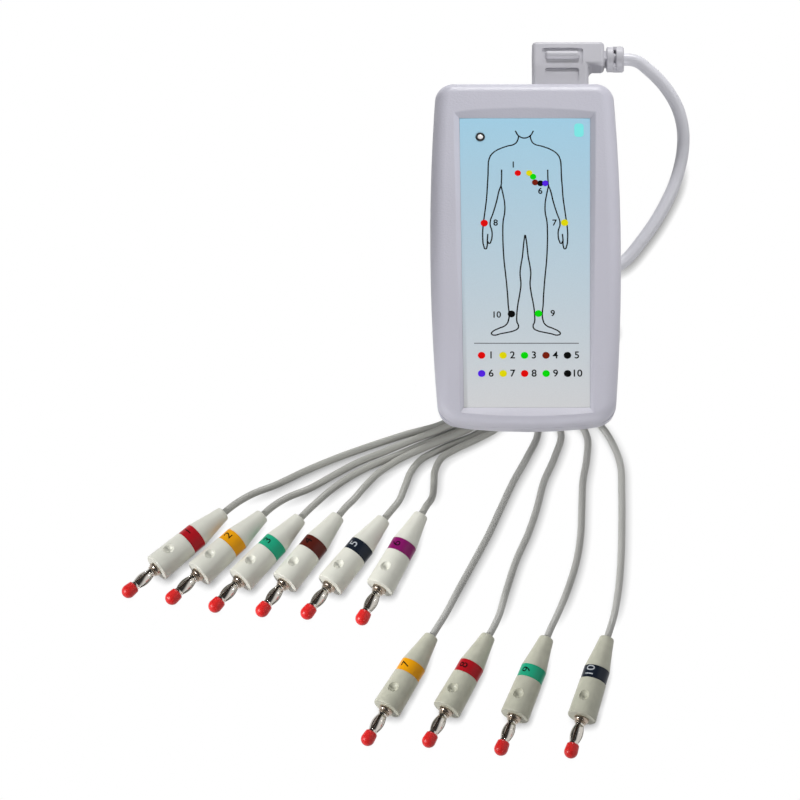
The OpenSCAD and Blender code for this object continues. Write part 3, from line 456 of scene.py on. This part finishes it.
# The leads leave through a comb of ten short nozzles on one plate.
comb_h, comb_round, nozzle_d, nozzle_round, nozzle_sunk = 6, 0.5, 3.1, 0.3, 0.2
comb_w = (len(lead_runs) - 1) * lead_pitch + nozzle_d + 1
comb = block("lead_comb", (0, -comb_w / 2, -comb_h / 2), (grommet_t, comb_w / 2, comb_h / 2))
pick("EDGE", lambda e: all(v.co.x > (grommet_t - 0.1) * MM for v in e.verts))
bevel(comb_round, 3)
nozzle_end = grommet_t + nozzle_l
nozzles = []
for side in lead_sides:
    nozzle = turn("nozzle", [
        (grommet_t - nozzle_sunk, 0), (grommet_t - nozzle_sunk, nozzle_d / 2),
        (nozzle_end - nozzle_round, nozzle_d / 2), (nozzle_end, nozzle_d / 2 - nozzle_round),
        (nozzle_end, 0)], 24)
    put(nozzle, (0, side, 0))
    nozzles.append(nozzle)
join(comb, nozzles)
smooth(comb)
put(comb, on_block(block_l / 2, 0, block_mid), block_turn)
fit(comb, "patient_cable", "cable_plastic", lead_tpe, "lead_grommet")


# Lead plugs. Each has a moulded sleeve that widens to its front, with a small round dent above and below for
# the fingers, a coloured vinyl ring with a number, and a turned pin in a cage of four sprung leaves.

def carve(made, cutter, solver="MANIFOLD"):
    """Takes a cutter's shape out of a piece."""
    modify(made, "BOOLEAN", object=cutter, solver=solver)
    bpy.data.objects.remove(cutter)


sleeve_l, taper_l, ring_w = 35, 14, 5.4
tail_r, ring_r, grip_r, front_r = 2.9, 5.1, 5.25, 5.7
groove, rim, pin_r, pin_seat, pin_gap = 0.6, 0.5, 1.3, 6, 0.1
rim_arc = [(sleeve_l - rim + rim * math.sin(a), front_r - rim + rim * math.cos(a))
           for a in [math.radians(90 * k / 6) for k in range(7)]]
ring_end, grip_steps = taper_l + ring_w, 36
grip_x = ring_end + 0.2
grip_line = [(grip_x + (sleeve_l - rim - grip_x) * k / grip_steps,
              grip_r + (front_r - grip_r) * k / grip_steps) for k in range(grip_steps)]
sleeve = turn("grip", [
    (0, 0), (0, tail_r - 0.5), (0.15, tail_r - 0.2), (0.5, tail_r), (5, 3.55), (9.5, 4.3),
    (taper_l - 0.3, ring_r - 0.06), (taper_l, ring_r - 0.2), (taper_l, ring_r - groove),
    (ring_end, ring_r - groove), (ring_end, grip_r - 0.2), *grip_line, *rim_arc,
    (sleeve_l, pin_r + pin_gap), (sleeve_l - pin_seat, pin_r + pin_gap), (sleeve_l - pin_seat, 0)], 96)
dent_r, dent_out, dent_x, dent_roll = 2.3, 6.2, 27.4, math.radians(15)
for roll in (dent_roll, dent_roll + math.pi):
    clear()
    bpy.ops.mesh.primitive_uv_sphere_add(
        segments=48, ring_count=24, radius=dent_r * MM,
        location=(dent_x * MM, -dent_out * math.sin(roll) * MM, dent_out * math.cos(roll) * MM))
    carve(sleeve, bpy.context.object, "EXACT")
smooth(sleeve, 38)

ring_gap, ring_round, ring_in = 0.02, 0.1, 0.58
ring = turn("ring", [
    (taper_l + ring_gap, ring_r - ring_in), (taper_l + ring_gap, ring_r - ring_round),
    (taper_l + ring_gap + ring_round, ring_r), (ring_end - ring_gap - ring_round, ring_r),
    (ring_end - ring_gap, ring_r - ring_round), (ring_end - ring_gap, ring_r - ring_in),
    (taper_l + ring_gap, ring_r - ring_in)], 96)
smooth(ring)

collar_l, cage_l, tip_l = 2.4, 9.0, 5.8
cage_x, tip_x = sleeve_l + collar_l, sleeve_l + collar_l + cage_l
collar_in = pin_r + 0.05
collar = turn("collar", [
    (sleeve_l, collar_in), (sleeve_l, 2.85), (sleeve_l + 0.3, 2.9), (sleeve_l + 0.9, 2.84),
    (sleeve_l + 1.35, 2.6), (sleeve_l + 1.6, 2.25), (sleeve_l + 1.72, 2.08), (sleeve_l + 1.85, 2.2),
    (sleeve_l + 2.2, 2.26), (cage_x - 0.08, 2.1), (cage_x, collar_in), (sleeve_l, collar_in)], 48)
smooth(collar, 50)

pin_start, pin_end = sleeve_l - pin_seat, tip_x + 0.4
core = turn("core", [(pin_start, 0), (pin_start, pin_r), (pin_end, pin_r), (pin_end, 0)], 32)
smooth(core)

# One leaf is a strip rolled round the pin, which bulges at its middle. The cage is four between two rings.
leaf_t, leaf_r, leaf_edge, leaf_sweep, leaf_steps = 0.3, 1.62, 0.09, 62.0, 20
bulge, foot = 2.38, 0.9
leaf_line = [(cage_x + foot + (cage_l - 2 * foot) * k / leaf_steps,
              leaf_r + (bulge - leaf_r) * math.sin(math.pi * k / leaf_steps) ** 0.9)
             for k in range(leaf_steps + 1)]
cage = turn("cage", [(cage_x + 0.05, leaf_r), *leaf_line, (tip_x - 0.05, leaf_r)], 10, leaf_sweep)
modify(cage, "SOLIDIFY", thickness=leaf_t * MM, offset=0)
modify(cage, "BEVEL", width=leaf_edge * MM, segments=2, limit_method="ANGLE", angle_limit=math.radians(50))
bpy.ops.object.mode_set(mode="EDIT")
bpy.ops.mesh.select_all(action="SELECT")
bpy.ops.mesh.spin(steps=3, angle=math.radians(270), dupli=True, center=(0, 0, 0), axis=(1, 0, 0))
end_in, end_side, end_out, end_round = leaf_r - 0.16, leaf_r + 0.2, leaf_r + 0.26, 0.1
join(cage, [turn("end_ring", [(x, end_in), (x, end_side), (x + end_round, end_out),
                              (x + foot - end_round, end_out), (x + foot, end_side), (x + foot, end_in),
                              (x, end_in)], 32)
            for x in (cage_x, tip_x - foot)])
smooth(cage, 40)

tip_r = 2.7
ball_x = tip_x + tip_l - tip_r
ball = [(ball_x + tip_r * math.sin(a), tip_r * math.cos(a))
        for a in [math.radians(90 * k / 12) for k in range(1, 12)]]
tip = turn("tip", [(tip_x, 0), (tip_x, 2.2), (tip_x + 0.2, 2.42), (tip_x + 0.9, 2.52), (tip_x + 2.0, 2.62),
                   (ball_x, tip_r), *ball, (tip_x + tip_l, 0)], 48)
smooth(tip, 50)

# Moulded PVC, satin cream, with the faint cloud of handling; dipped red PVC on the tips; matt screen inks.
chest_sleeve = plastic("moulded PVC, cream white", "#DEDED3", 0.42, 0.6, 0.008, 0.07, 5.0)
limb_sleeve = plastic("moulded PVC, stone white", "#C0C0AF", 0.42, 0.6, 0.008, 0.16, 4.0)
dipped_red = plastic("dipped PVC, red", "#E01A18", 0.4, 0.8, 0.0015, 0.08, 3.0)
ring_vinyls = {
    name: plastic("vinyl ring, " + shade, colour, 0.35, 0.4, 0.006, drift, 4.0, 1.3)
    for name, shade, colour, drift in [
        ("red", "red", "#B00D1C", 0.10), ("amber", "amber", "#E79E00", 0.08),
        ("green", "green", "#1FA47E", 0.10), ("brown", "brown", "#55190F", 0.12),
        ("black", "blue black", "#141D2B", 0.14), ("violet", "violet", "#840F63", 0.10)]}
dark_ink = plastic("screen ink, black", "#0A0A0C", 0.5, 0.4, 0.004, 0.10, 4.0, 1.2)
pale_ink = plastic("screen ink, pale grey", "#B9BEC4", 0.5, 0.4, 0.004, 0.06, 4.0, 1.2)


def plated(name, colour, rough, scratch):
    """Plated metal: the grain of polishing, in mm, shows in its tone and gloss and as the faintest relief."""
    made, _, fine = grained(name, rough, scratch, depth=0.004, detail=4.0, spread=0.06)
    tree = made.node_tree
    shader = tree.nodes["Principled BSDF"]
    shader.inputs["Metallic"].default_value = 1.0
    base = linear(colour)
    dark = (*[c * 0.82 for c in base[:3]], 1)
    tone = add(tree, "ShaderNodeMix", {0: fine, 6: dark, 7: base}, data_type="RGBA")
    tree.links.new(tone.outputs[2], shader.inputs["Base Color"])
    return made


# Nickel, dull on the turned collar and pin, and bright as a mirror on the leaves.
nickel = plated("nickel plated brass", "#B3A597", 0.3, 0.5)
bright_nickel = plated("polished spring bronze, nickel plated", "#CFCAC2", 0.14, 0.5)


def lettering(text, size, thickness, weight=0.0):
    """A number as a flat solid, in mm, with its middle at the origin."""
    clear()
    bpy.ops.object.text_add()
    made = bpy.context.object
    made.data.body = text
    made.data.align_x, made.data.align_y = "CENTER", "CENTER"
    made.data.size = size * MM
    made.data.extrude = thickness * MM
    made.data.offset = weight * MM
    bpy.ops.object.convert(target="MESH")
    return made


# Six pieces are modelled once and copied to each plug. The printed number is wrapped round its ring.
ring_colours = ["red", "amber", "green", "brown", "black", "violet", "amber", "red", "green", "black"]
mark_size, mark_roll, ink_t = 5.0, math.radians(24), 0.03
for number, (name, place, length, points) in enumerate(lead_runs):
    colour = ring_colours[number]
    sleeve_pvc = chest_sleeve if name.startswith("chest") else limb_sleeve
    mark = lettering(str(number + 1), mark_size, ink_t)
    mark.name = "mark_" + name
    bpy.ops.object.mode_set(mode="EDIT")
    bpy.ops.mesh.select_all(action="SELECT")
    bpy.ops.mesh.remove_doubles(threshold=0.001 * MM)
    bpy.ops.mesh.quads_convert_to_tris()
    bpy.ops.mesh.subdivide(number_cuts=2)
    bpy.ops.object.mode_set(mode="OBJECT")
    for v in mark.data.vertices:
        along, up, out = v.co.x, v.co.y, ring_r * MM + v.co.z
        roll = mark_roll + up / (ring_r * MM)
        v.co = ((taper_l + ring_w / 2) * MM - along, -out * math.sin(roll), out * math.cos(roll))
    pieces = [mark]
    for model, slot_name, finish, node_name in [
            (sleeve, "sleeve_plastic", sleeve_pvc, "sleeve_" + name),
            (ring, "band_" + colour, ring_vinyls[colour], "band_" + colour),
            (collar, "collar_metal", nickel, "pin_collars"),
            (core, "pin_metal", nickel, "pin_cores"),
            (cage, "pin_metal", bright_nickel, "pin_springs"),
            (tip, "tip_red", dipped_red, "pin_tips")]:
        piece = bpy.data.objects.new(model.name + "_" + name, model.data.copy())
        bpy.context.collection.objects.link(piece)
        fit(piece, "patient_cable", slot_name, finish, node_name)
        pieces.append(piece)
    fit(mark, "patient_cable", "black_plastic", pale_ink if colour == "black" else dark_ink)
    for piece in pieces:
        put(piece, (place[0], place[1], plug_mid), math.radians(place[2]))
    lead, start = leads[number]
for model in (sleeve, ring, collar, core, cage, tip):
    bpy.data.objects.remove(model)


# Right-angle plug. A moulded hood that turns the trunk aside at the case's end, with a finger recess and a
# raised bar, a bare panel below it, and a ribbed strain relief moulded in one with the hood.

def pull(x=0, y=0, z=0):
    """Extrudes what is selected in edit mode, by a way in mm."""
    bpy.ops.mesh.extrude_region_move(TRANSFORM_OT_translate={"value": (x * MM, y * MM, z * MM)})


def soften(made, width, angle=40):
    """Rounds every edge that is sharper than an angle."""
    modify(made, "BEVEL", width=width * MM, segments=2, limit_method="ANGLE", angle_limit=math.radians(angle))


hood_left, hood_right, arm_right = 3.2, 25.6, 32.0
hood_near, arm_near, hood_far = 74.8, 83.6, 94.2
hood_low, arm_low, hood_high = 17, 20, 29
hood_round, pocket_round, pocket_edge, recess = 1.6, 0.9, 0.22, 0.7
hood = block("right_angle_hood", (hood_left, hood_near, hood_low), (hood_right, hood_far, hood_high))
bpy.ops.mesh.select_all(action="SELECT")
bpy.ops.mesh.bisect(plane_co=(0, arm_near * MM, 0), plane_no=(0, 1, 0))
bpy.ops.mesh.select_all(action="SELECT")
bpy.ops.mesh.bisect(plane_co=(0, 0, arm_low * MM), plane_no=(0, 0, 1))
pick("FACE", lambda f: f.normal.x > 0.9 and f.calc_center_median().y > arm_near * MM
     and f.calc_center_median().z > arm_low * MM)
pull(x=arm_right - hood_right)
pick("EDGE", lambda e: e.calc_face_angle(0) > 0.3 and max(v.co.y for v in e.verts) > (hood_near + 0.1) * MM)
bevel(hood_round, 6)
finger_pocket, panel_pocket = ((7.2, 83.6), (23.4, 91.1)), ((8.4, 76.2), (21.8, 82.2))
for low_corner, high_corner in (finger_pocket, panel_pocket):
    pocket = block("pocket", (*low_corner, hood_high - recess), (*high_corner, hood_high + 2))
    pick("EDGE", upright)
    bevel(pocket_round, 4)
    carve(hood, pocket)
soften(hood, pocket_edge)

bar_r, bar_l, bar_blunt, bar_place = 1.75, 13.8, 0.6, (8.4, 88.2, 28.1)
bar_end = [(bar_r * (1 - math.cos(a)) * bar_blunt, bar_r * math.sin(a))
           for a in [math.radians(15 * k) for k in range(7)]]
bar = turn("grip_bar", [*bar_end, *[(bar_l - x, r) for x, r in reversed(bar_end)]], 32)
put(bar, bar_place)
join(hood, [bar])
smooth(hood)
fit(hood, "patient_cable", "cable_plastic", cable_tpe, "plug_hood")

# Two flanges on a thin neck. A web stands upright between hood and flange, and two lie at the sides beyond.
relief = turn("strain_relief", [
    (0, 0), (0, 2.0), (1.9, 2.0), (1.6, 3.0), (1.0, 3.9), (0.9, 4.6), (1.3, 5.1), (3.4, 5.1), (3.7, 4.8),
    (3.8, 2.6), (4.6, 2.6), (4.7, 4.9), (5.0, 5.2), (7.3, 5.2), (7.9, 4.6), (7.9, 0)], 64)
join(relief, [block("web", low_corner, high_corner) for low_corner, high_corner in [
    ((-0.1, -1.7, -4.4), (1.8, 1.7, 4.4)), ((3.5, 2.9, -2.6), (4.9, 4.5, 2.6)),
    ((3.5, -4.5, -2.6), (4.9, -2.9, 2.6))]])
smooth(relief)
put(relief, (arm_right, *trunk_exit[1:]))
fit(relief, "patient_cable", "cable_plastic", cable_tpe, "trunk_relief")


# Recorder case. Two shells moulded in lavender-grey ABS with a fine spark-eroded grain, screwed together from
# the back. The face shell's sides bow, its edges roll over, and a sloping frame sinks round the label.

abs_grain = plastic("moulded ABS, spark-eroded, lavender grey", "#CBCAD6", 0.42, 0.7, 0.1, 0.03, 30.0)

case_w, case_l, split_z, face_z = 75.2, 149, 28, 34
side_bow, end_bow, bow_y, corner_r = 3.4, 3.2, 6, 6.8
face_r, near_r, roll_run, roll_steps = 5.6, 3.8, 16, 10
wall, rim_depth, seam = 2.2, 2.4, 0.3
near_y = -case_l / 2


def half_width(y):
    """Half of the case's width at a place along it, in mm."""
    return case_w / 2 - side_bow * ((y - bow_y) / (case_l / 2 + bow_y)) ** 2


def near_bulge(x):
    """How far the bulging near end draws back at a distance from its middle, in mm."""
    return end_bow * (2 * x / case_w) ** 2


def merged():
    """Makes one face of a flat grid, in edit mode, and leaves it selected."""
    bpy.ops.object.mode_set(mode="EDIT")
    bpy.ops.mesh.select_mode(type="FACE")
    bpy.ops.mesh.select_all(action="SELECT")
    bpy.ops.mesh.dissolve_faces()


# A flat grid is bowed to the outline and made one face, whose four corners are then rounded.
corner_x, corner_y = 30, 70
clear()
bpy.ops.mesh.primitive_grid_add(x_subdivisions=8, y_subdivisions=12, size=1, location=(0, 0, split_z * MM))
shell = bpy.context.object
shell.name = "case_face"
shell.scale = (case_w * MM, case_l * MM, 1)
bpy.ops.object.transform_apply(location=True, rotation=True, scale=True)
for v in shell.data.vertices:
    across, y = 2 * v.co.x / MM / case_w, v.co.y / MM
    if y < near_y + 0.1:
        y += end_bow if abs(across) > 0.99 else near_bulge(across * half_width(near_y))
    v.co.x, v.co.y = across * half_width(y) * MM, y * MM
merged()
pick("VERT", lambda v: abs(v.co.x) > corner_x * MM and abs(v.co.y) > corner_y * MM)
bevel(corner_r, 10, "VERTICES")
bpy.ops.object.mode_set(mode="OBJECT")


def spot(co):
    """A vertex's place in plan, in thousandths of a mm."""
    return round(co.x / MM, 3), round(co.y / MM, 3)


# The outline is raised ring by ring, and each ring is set in by its step of the roll. The roll is tighter at
# the near end.
outline = [shell.data.vertices[i].co.copy() for i in shell.data.polygons[0].vertices]
inward = {}
for i, here in enumerate(outline):
    along = outline[(i + 1) % len(outline)] - outline[i - 1]
    inward[spot(here)] = Vector((-along.y, along.x, 0)).normalized()
bpy.ops.object.mode_set(mode="EDIT")
bpy.ops.mesh.select_mode(type="FACE")
bpy.ops.mesh.select_all(action="SELECT")
for step in range(roll_steps + 1):
    pull(z=1)
outward()
bpy.ops.object.mode_set(mode="OBJECT")
for v in shell.data.vertices:
    step = round(v.co.z / MM - split_z)
    if step > 0:
        off_end = min(max((v.co.y / MM - near_y - end_bow) / roll_run, 0.0), 1.0)
        radius = near_r + (face_r - near_r) * off_end ** 2 * (3 - 2 * off_end)
        angle = math.pi / 2 * (step - 1) / roll_steps
        v.co += inward[spot(v.co)] * radius * (1 - math.cos(angle)) * MM
        v.co.z = (face_z - radius + radius * math.sin(angle)) * MM
bpy.ops.object.mode_set(mode="EDIT")
pick("EDGE", lambda e: level(e, split_z))
bevel(seam, 2)
pick("FACE", lambda f: f.normal.z < -0.99)
bpy.ops.mesh.inset(thickness=(wall - seam) * MM)
pull(z=rim_depth)

# The flat top is parted across and along first, so that the cut for the frame leaves simple faces.
part_near, part_far = -55, 50
for place, way in [((0, part_near, 0), (0, 1, 0)), ((0, part_far, 0), (0, 1, 0)), ((0, 0, 0), (1, 0, 0))]:
    pick("FACE", lambda f: f.normal.z > 0.99 and f.calc_center_median().z > (face_z - 0.1) * MM)
    bpy.ops.mesh.bisect(plane_co=[c * MM for c in place], plane_no=way)

label_near, label_far, label_half_far, label_half_near = -67.5, 58.1, 26, 24.7
label_top, label_t = 32.6, 0.4
slope_far, slope_near, side_far, side_near, arch_far = 3.9, 4.6, 2.2, 1.32, 1.8
arch_near = near_bulge(label_half_near + side_near)
frame_x, frame_y, frame_edge = 29.2, 63, 0.4
clear()
bpy.ops.mesh.primitive_grid_add(x_subdivisions=12, y_subdivisions=1, size=2,
                                location=(0, 0, (label_top - label_t) * MM))
frame_cut = bpy.context.object
bpy.ops.object.transform_apply(location=True, rotation=True, scale=True)
merged()
for rise in (label_t, face_z - label_top, 1.0):
    pull(z=rise)
outward()
bpy.ops.object.mode_set(mode="OBJECT")
for v in frame_cut.data.vertices:
    side, far = v.co.x, v.co.y > 0
    grow = max(0.0, (v.co.z / MM - label_top) / (face_z - label_top))
    if far:
        half = label_half_far + side_far * grow
        end = label_far + (slope_far - arch_far * side ** 2) * grow
    else:
        half = label_half_near + side_near * grow
        end = label_near - (slope_near - arch_near * side ** 2) * grow
    v.co.x, v.co.y = side * half * MM, end * MM
carve(shell, frame_cut)
bpy.ops.object.mode_set(mode="EDIT")
pick("EDGE", lambda e: level(e, face_z) and e.calc_face_angle(0) > 0.2 and max(v.co.y for v in e.verts) > 0
     and all(abs(v.co.x) < frame_x * MM and v.co.y < frame_y * MM for v in e.verts))
bevel(frame_edge, 4)
smooth(shell)
fit(shell, "recorder", "case_plastic", abs_grain, "front_shell")

back = bpy.data.objects.new("case_back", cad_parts["rear_shell"].data.copy())
bpy.context.collection.objects.link(back)
only(back)
bpy.ops.object.mode_set(mode="EDIT")
bpy.ops.mesh.select_all(action="SELECT")
bpy.ops.mesh.remove_doubles(threshold=0.001 * MM)
bpy.ops.mesh.dissolve_limited(angle_limit=math.radians(0.5))
smooth(back)
fit(back, "recorder", "case_plastic", abs_grain, "rear_shell")


# Inside the case. Two cells with gold-flashed contacts behind a sliding door, a solder-masked board with its
# chips and screened radio, the plug's socket, and zinc-plated screws. The CAD solids carry their finishes.

def paint(finish, *nodes):
    """Gives CAD nodes a finish."""
    for name in nodes:
        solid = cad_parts[name]
        if not solid.material_slots:
            solid.data.materials.append(finish)
        for place in solid.material_slots:
            place.material = finish


paint(abs_grain, "battery_door")
paint(plastic("printed cell jacket", "#3A3D42", 0.3, 0.4, 0.004, 0.12, 8.0), "battery_cells")
paint(plated("gold flash", "#C9A557", 0.25, 0.4), "battery_contacts", "socket_pins")
paint(plastic("solder mask, green", "#1F5B36", 0.35, 0.3, 0.01, 0.15, 3.0), "main_board", "splitter_board")
paint(plastic("moulded epoxy, black", "#1A1A1C", 0.5, 0.3, 0.01, 0.15, 3.0),
      "board_chips", "socket_insert", "plug_insert")
paint(plated("tin plated sheet", "#C4C6C8", 0.32, 0.6), "radio_module", "cable_socket", "plug_shell")
paint(plated("zinc plated steel", "#B8BABD", 0.3, 0.4), "case_screws", "board_screws", "yoke_screws")


# Label and status light. A printed polyester film, blue fading to grey, lies in the sunk frame. A plain body
# outline shows where the ten numbered plugs go, with a colour key below, and a white light in a black ring.

light_x, light_y, light_r, light_ring_r = -17.7, 49.8, 1.1, 1.85
slip, hole_gap, film_edge = 0.1, 0.05, 0.06
clear()
bpy.ops.mesh.primitive_grid_add(x_subdivisions=1, y_subdivisions=1, size=2,
                                location=(0, 0, (label_top - label_t) * MM))
film = bpy.context.object
film.name = "label_film"
bpy.ops.object.transform_apply(location=True, rotation=True, scale=True)
for v in film.data.vertices:
    half = (label_half_far if v.co.y > 0 else label_half_near) - slip
    v.co.x, v.co.y = v.co.x * half * MM, (label_far - slip if v.co.y > 0 else label_near + slip) * MM
bpy.ops.object.mode_set(mode="EDIT")
bpy.ops.mesh.select_all(action="SELECT")
pull(z=label_t)
outward()
clear()
bpy.ops.mesh.primitive_cylinder_add(vertices=48, radius=(light_ring_r + hole_gap) * MM, depth=2 * MM,
                                    location=(light_x * MM, light_y * MM, label_top * MM))
carve(film, bpy.context.object)
soften(film, film_edge, 60)
smooth(film)

# Printed film: the tint runs from sky blue at the cable end to pale grey, under a fine matt emboss.
speck_size = 0.5
print_film, where, _ = grained("printed polyester film, matt", 0.5, 0.35, 0.006)
tree = print_film.node_tree
shader = tree.nodes["Principled BSDF"]
shader.inputs["IOR"].default_value = 1.2
split = add(tree, "ShaderNodeSeparateXYZ", {0: where})
run = add(tree, "ShaderNodeMapRange",
          {"Value": split.outputs["Y"], "From Min": label_near * MM, "From Max": label_far * MM})
tint = add(tree, "ShaderNodeMix", {0: run.outputs[0], 6: linear("#DFE0E2"), 7: linear("#ABD9F0")},
           data_type="RGBA")
speck = add(tree, "ShaderNodeTexNoise", {"Vector": where, "Scale": 1 / (speck_size * MM), "Detail": 2.0})
shade = add(tree, "ShaderNodeMapRange", {"Value": speck.outputs["Fac"], "To Min": 0.96, "To Max": 1.04})
final = add(tree, "ShaderNodeVectorMath", {0: tint.outputs[2], "Scale": shade.outputs[0]}, operation="SCALE")
tree.links.new(final.outputs[0], shader.inputs["Base Color"])
fit(film, "recorder", "label_film", print_film, "face_label")


ink_spread, dot_edge, dot_rise = 0.06, 0.12, 0.01


def stroke(points, width):
    """A printed line through points on the label, in mm."""
    clear()
    bpy.ops.curve.primitive_bezier_curve_add()
    made = bpy.context.object
    spline = made.data.splines[0]
    spline.bezier_points.add(len(points) - 2)
    for point, (x, y) in zip(spline.bezier_points, points):
        point.handle_left_type = point.handle_right_type = "AUTO"
        point.co = (x * MM, y * MM, 0)
    spline.resolution_u = 8
    made.data.bevel_depth = width / 2 * MM
    made.data.bevel_resolution = 2
    made.data.use_fill_caps = True
    bpy.ops.object.convert(target="MESH")
    for v in made.data.vertices:
        v.co.z *= 2 * ink_t / width
    return made


def numeral(text, x, y, size):
    """A printed number, with its middle at a place on the label, in mm."""
    made = lettering(text, size, ink_t, ink_spread)
    put(made, (x, y, 0))
    return made


def dot(x, y, radius):
    """A printed spot, a little thicker inside its edge, in mm."""
    clear()
    bpy.ops.mesh.primitive_cylinder_add(vertices=40, radius=radius * MM, depth=2 * ink_t * MM,
                                        location=(x * MM, y * MM, 0))
    made = bpy.context.object
    bpy.ops.object.transform_apply(location=True, rotation=True, scale=True)
    bpy.ops.object.mode_set(mode="EDIT")
    pick("FACE", lambda f: f.normal.z > 0.9)
    bpy.ops.mesh.inset(thickness=dot_edge * MM)
    bpy.ops.transform.translate(value=(0, 0, dot_rise * MM))
    bpy.ops.object.mode_set(mode="OBJECT")
    return made


def gathered(name, prints, lift=0.0):
    """Joins prints of one ink into one piece, and lays it on the label, over the inks printed before it."""
    made = prints[0]
    join(made, prints[1:])
    made.name = name
    put(made, (0, 0, label_top + lift))
    return made


# Half of the figure, from the neck down the arm, from the hand up to the armpit, and from the waist round the
# leg to the fork. Both halves are printed from the same lines.
middle, line_w, rule_w = -0.2, 0.55, 0.3
neck_line = [(3.6, 52.5), (2.3, 50.3), (0, 49.3), (-2.3, 50.3), (-3.6, 52.5)]
arm_line = [
    (2.3, 50.3), (2.6, 48.6), (3.6, 46.9), (7.2, 45.6), (10.5, 44.2), (13.0, 42.2), (14.1, 39.8),
    (14.4, 37.0), (14.5, 33.0), (14.8, 28.0), (15.1, 23.0), (15.6, 18.6), (16.1, 14.6), (16.6, 10.4),
    (16.7, 5.0), (16.3, 2.0), (15.6, 0.8), (15.0, 2.0), (14.9, 4.6), (14.7, 7.3)]
thumb_line = [
    (14.85, 4.2), (14.1, 3.2), (13.5, 4.1), (13.0, 6.9), (13.2, 9.2), (13.7, 10.8), (13.7, 12.8),
    (12.6, 16.3), (11.2, 21.4), (10.1, 26.4), (9.4, 28.4), (9.2, 30.6), (9.1, 35.4)]
leg_line = [
    (9.4, 28.4), (8.6, 24.5), (8.0, 20.6), (8.0, 16.7), (8.6, 13.0), (8.8, 8.0), (8.7, 2.0), (8.3, -5.0),
    (7.8, -10.2), (7.3, -16.0), (6.9, -22.6), (6.9, -30.6), (8.1, -32.4), (10.6, -33.6), (13.0, -35.0),
    (13.5, -35.9), (12.5, -36.5), (9.9, -35.9), (7.1, -35.3), (4.6, -34.6), (3.1, -33.6), (2.9, -32.2),
    (3.4, -31.0), (3.5, -28.0), (3.0, -23.0), (2.2, -18.2), (1.8, -14.5), (2.1, -9.6), (1.7, -6.0),
    (1.2, -3.0), (0.8, 1.0), (0.5, 4.0), (0.1, 6.9)]
figure = [stroke([(middle + side * x, y) for x, y in line], line_w)
          for side in (-1, 1) for line in (arm_line, thumb_line, leg_line)]
figure.append(stroke([(middle + x, y) for x, y in neck_line], line_w))

# The key is a rule and two rows of five coloured spots, each with its number beside it.
rule_half, rule_y = 20.5, -40.0
key_x, key_y, key_step, key_drop, key_gap, key_size, number_size = -17.6, -45.2, 8.4, 7.8, 3.7, 4.2, 3.7
key_places = [(key_x + key_step * (k % 5), key_y - key_drop * (k // 5)) for k in range(10)]
numbers = [("1", -4.7, 37.5), ("6", 5.9, 26.0), ("7", 11.4, 12.1), ("8", -11.8, 12.1), ("9", 10.4, -27.2),
           ("10", -11.7, -27.8)]
prints = [*figure, stroke([(-rule_half, rule_y), (rule_half, rule_y)], rule_w)]
prints += [numeral(text, x, y, number_size) for text, x, y in numbers]
prints += [numeral(str(k + 1), x + key_gap, y, key_size) for k, (x, y) in enumerate(key_places)]
fit(gathered("print_black", prints), "recorder", "label_film", dark_ink)

chest_dot, limb_dot, ink_lift = 1.25, 1.45, 0.005
spots = {
    "red": ("#F00000", [(-2.9, 33.9, chest_dot), (-16.3, 12.0, limb_dot)]),
    "yellow": ("#F0E600", [(1.6, 33.9, chest_dot), (15.4, 12.2, limb_dot)]),
    "green": ("#00E600", [(3.1, 32.3, chest_dot), (4.8, -27.2, limb_dot)]),
    "brown": ("#7E1E08", [(3.9, 29.8, chest_dot)]),
    "dark": ("#060606", [(6.0, 29.4, chest_dot), (-5.8, -27.4, limb_dot)]),
    "violet": ("#5A24F0", [(7.9, 29.4, chest_dot)]),
}
key_colours = ["red", "yellow", "green", "brown", "dark", "violet", "yellow", "red", "green", "dark"]
for order, (name, (colour, places)) in enumerate(spots.items()):
    places = places + [(*p, limb_dot) for p, c in zip(key_places, key_colours) if c == name]
    ink = plastic("screen ink, " + name, colour, 0.5, 0.4, 0.004, 0.06, 4.0, 1.15)
    printed = gathered("print_" + name, [dot(*place) for place in places], ink_lift * (order + 1))
    fit(printed, "recorder", "label_film", ink)

# The small window beside the figure is a bare patch of cyan ink.
window_round = 1.3
window = block("print_window", (19.6, 49.8, -ink_t), (23.3, 55.7, ink_t))
pick("EDGE", upright)
bevel(window_round, 8)
put(window, (0, 0, label_top))
cyan_ink = plastic("screen ink, cyan", "#86F5F2", 0.5, 0.4, 0.004, 0.04, 4.0, 1.15)
fit(window, "recorder", "label_film", cyan_ink)

# The light is a milky lens in a black bush, both pushed through the label from above.
light_sunk = 0.8
light_ring = turn("light_ring", [
    (0, light_r), (1.0, light_r), (1.1, light_r + 0.1), (1.1, light_ring_r - 0.15), (0.95, light_ring_r),
    (0, light_ring_r), (0, light_r)], 48)
lens_r = light_r - 0.04
lens = turn("light_lens", [(0, 0), (0, lens_r), (0.9, lens_r), (1.0, light_r - 0.2), (1.05, 0)], 48)
black_abs = plastic("moulded ABS, black", "#121214", 0.45, 0.3, 0.006)
milky_pc = plastic("moulded PC, milky white", "#FFFFFF", 0.25, 0.4, 0.003, 0.01)
for piece, node_name, slot_name, finish in [
        (light_ring, "led_ring", "black_plastic", black_abs), (lens, "led_lens", "light_pipe", milky_pc)]:
    only(piece)
    piece.rotation_euler = (0, -math.pi / 2, 0)
    bpy.ops.object.transform_apply(location=True, rotation=True, scale=True)
    smooth(piece)
    put(piece, (light_x, light_y, label_top - light_sunk))
    fit(piece, "recorder", slot_name, finish, node_name)
